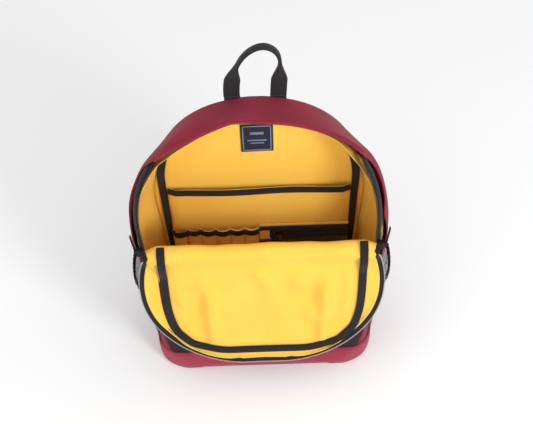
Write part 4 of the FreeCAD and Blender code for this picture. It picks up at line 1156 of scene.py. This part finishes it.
# ---- Side pockets ----
def pocket_sheet(z0, z1, stand0, stand1, side, ny=40, nz=22):
    grid = np.zeros((nz, ny, 3))
    for i in range(nz):
        f = i / (nz - 1)
        z = z0 + (z1 - z0) * f
        for j in range(ny):
            s = 2 * j / (ny - 1) - 1
            y = 0.005 + 0.052 * s
            stand = (stand0 + (stand1 - stand0) * f) * (1 - s ** 4)
            grid[i, j] = (side * (body_half(y, z) + 0.0012 + stand), y, z)
    return grid if side > 0 else grid[:, ::-1]


for side, tag in SIDES:
    grid = pocket_sheet(0.026, 0.140, 0.001, 0.014, side)
    net = sheet("side_pocket_mesh_" + tag, grid, 0.0006, MESH, 0.0008 * wave(grid, 71, 0.03))
    dress(net, "pack", "black_mesh", "side_pocket_" + tag)
    hem_line = pocket_sheet(0.1400, 0.1530, 0.014, 0.0135, side, 60, 3)[1]
    gather = 0.0006 * np.sin(np.arange(60) * 1.6)
    hem_line = hem_line + np.stack([side * gather, 0 * gather, 0 * gather], axis=1)
    hem = strip("side_pocket_hem_elastic_" + tag, hem_line, (0, 0, 1), 0.0132, 0.0026, BINDING)
    dress(hem, "pack", "black_binding", "side_pocket_hem_" + tag)
    wrap = np.zeros((20, 14, 3))
    for i, zz in enumerate(np.linspace(BOOT + 0.003, 0.150, 20)):
        yy = edge_y(zz, 0)
        half = body_half(yy + 0.001, zz)
        for j, f in enumerate(np.linspace(1.0, 0.74, 14)):
            wrap[i, j] = (side * (half * f + 0.0012), yy - 0.0016 - 0.002
                * math.sin(math.pi * (1 - f) / 0.26), zz)
    if side < 0:
        wrap = wrap[:, ::-1]
    cover = sheet("side_pocket_wrap_" + tag, wrap, 0.0006, MESH)
    dress(cover, "pack", "black_mesh")
    for place, column in (("front", 0), ("rear", -1)):
        line = grid[:, column if side > 0 else -1 - column]
        bound = strip("side_pocket_edge_%s_%s" % (place, tag), line, (0, 1, 0), 0.0062, 0.0022, BINDING)
        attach(bound, "pack")

# ---- Hard parts keep their CAD shape ----
looks = {
    "ladder_lock_right": PLASTIC, "ladder_lock_left": PLASTIC, "main_slider_right": DARK_METAL,
    "main_slider_left": DARK_METAL, "main_pull_right": DARK_METAL, "main_pull_left": DARK_METAL,
    "pocket_slider": METAL, "pocket_pull": METAL, "front_slider": DARK_METAL, "front_pull": DARK_METAL,
}
for node, mat in looks.items():
    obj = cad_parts[node]
    obj.data.materials.clear()
    obj.data.materials.append(mat)

# ---- Floor, light and camera ----
bpy.ops.mesh.primitive_plane_add(size=8, location=(0, 0, 0))
ground = bpy.context.object
ground.name = "studio_floor"
paper, tree, shader = new_material("studio paper")
shader.inputs["Base Color"].default_value = (0.93, 0.93, 0.93, 1)
shader.inputs["Roughness"].default_value = 0.9
ground.data.materials.append(paper)

world = bpy.data.worlds.new("studio")
bpy.context.scene.world = world
world.use_nodes = True
world.node_tree.nodes["Background"].inputs[0].default_value = (1, 1, 1, 1)
world.node_tree.nodes["Background"].inputs[1].default_value = 0.85


def area(name, place, target, size, power):
    data = bpy.data.lights.new(name, "AREA")
    data.size = size
    data.energy = power
    lamp = bpy.data.objects.new(name, data)
    bpy.context.scene.collection.objects.link(lamp)
    lamp.location = place
    lamp.rotation_euler = (Vector(target) - Vector(place)).to_track_quat("-Z", "Y").to_euler()
    return lamp


area("key", (1.05, -1.15, 1.0), (0, 0.04, 0.27), 0.5, 14)
area("fill", (-1.3, -0.7, 1.1), (0, 0, 0.2), 1.4, 4)

camera = bpy.data.objects.new("camera", bpy.data.cameras.new("camera"))
bpy.context.scene.collection.objects.link(camera)
camera.data.lens = 61.6
camera.data.sensor_width = 36
camera.location = (0.009, -0.7205, 1.1681)
camera.matrix_world = Matrix.Translation(camera.location) @ Matrix.Rotation(math.radians(38.5), 4,
    "X") @ Matrix.Rotation(math.radians(-1.9), 4, "Z")
bpy.context.scene.camera = camera
bpy.context.scene.view_settings.view_transform = "Standard"
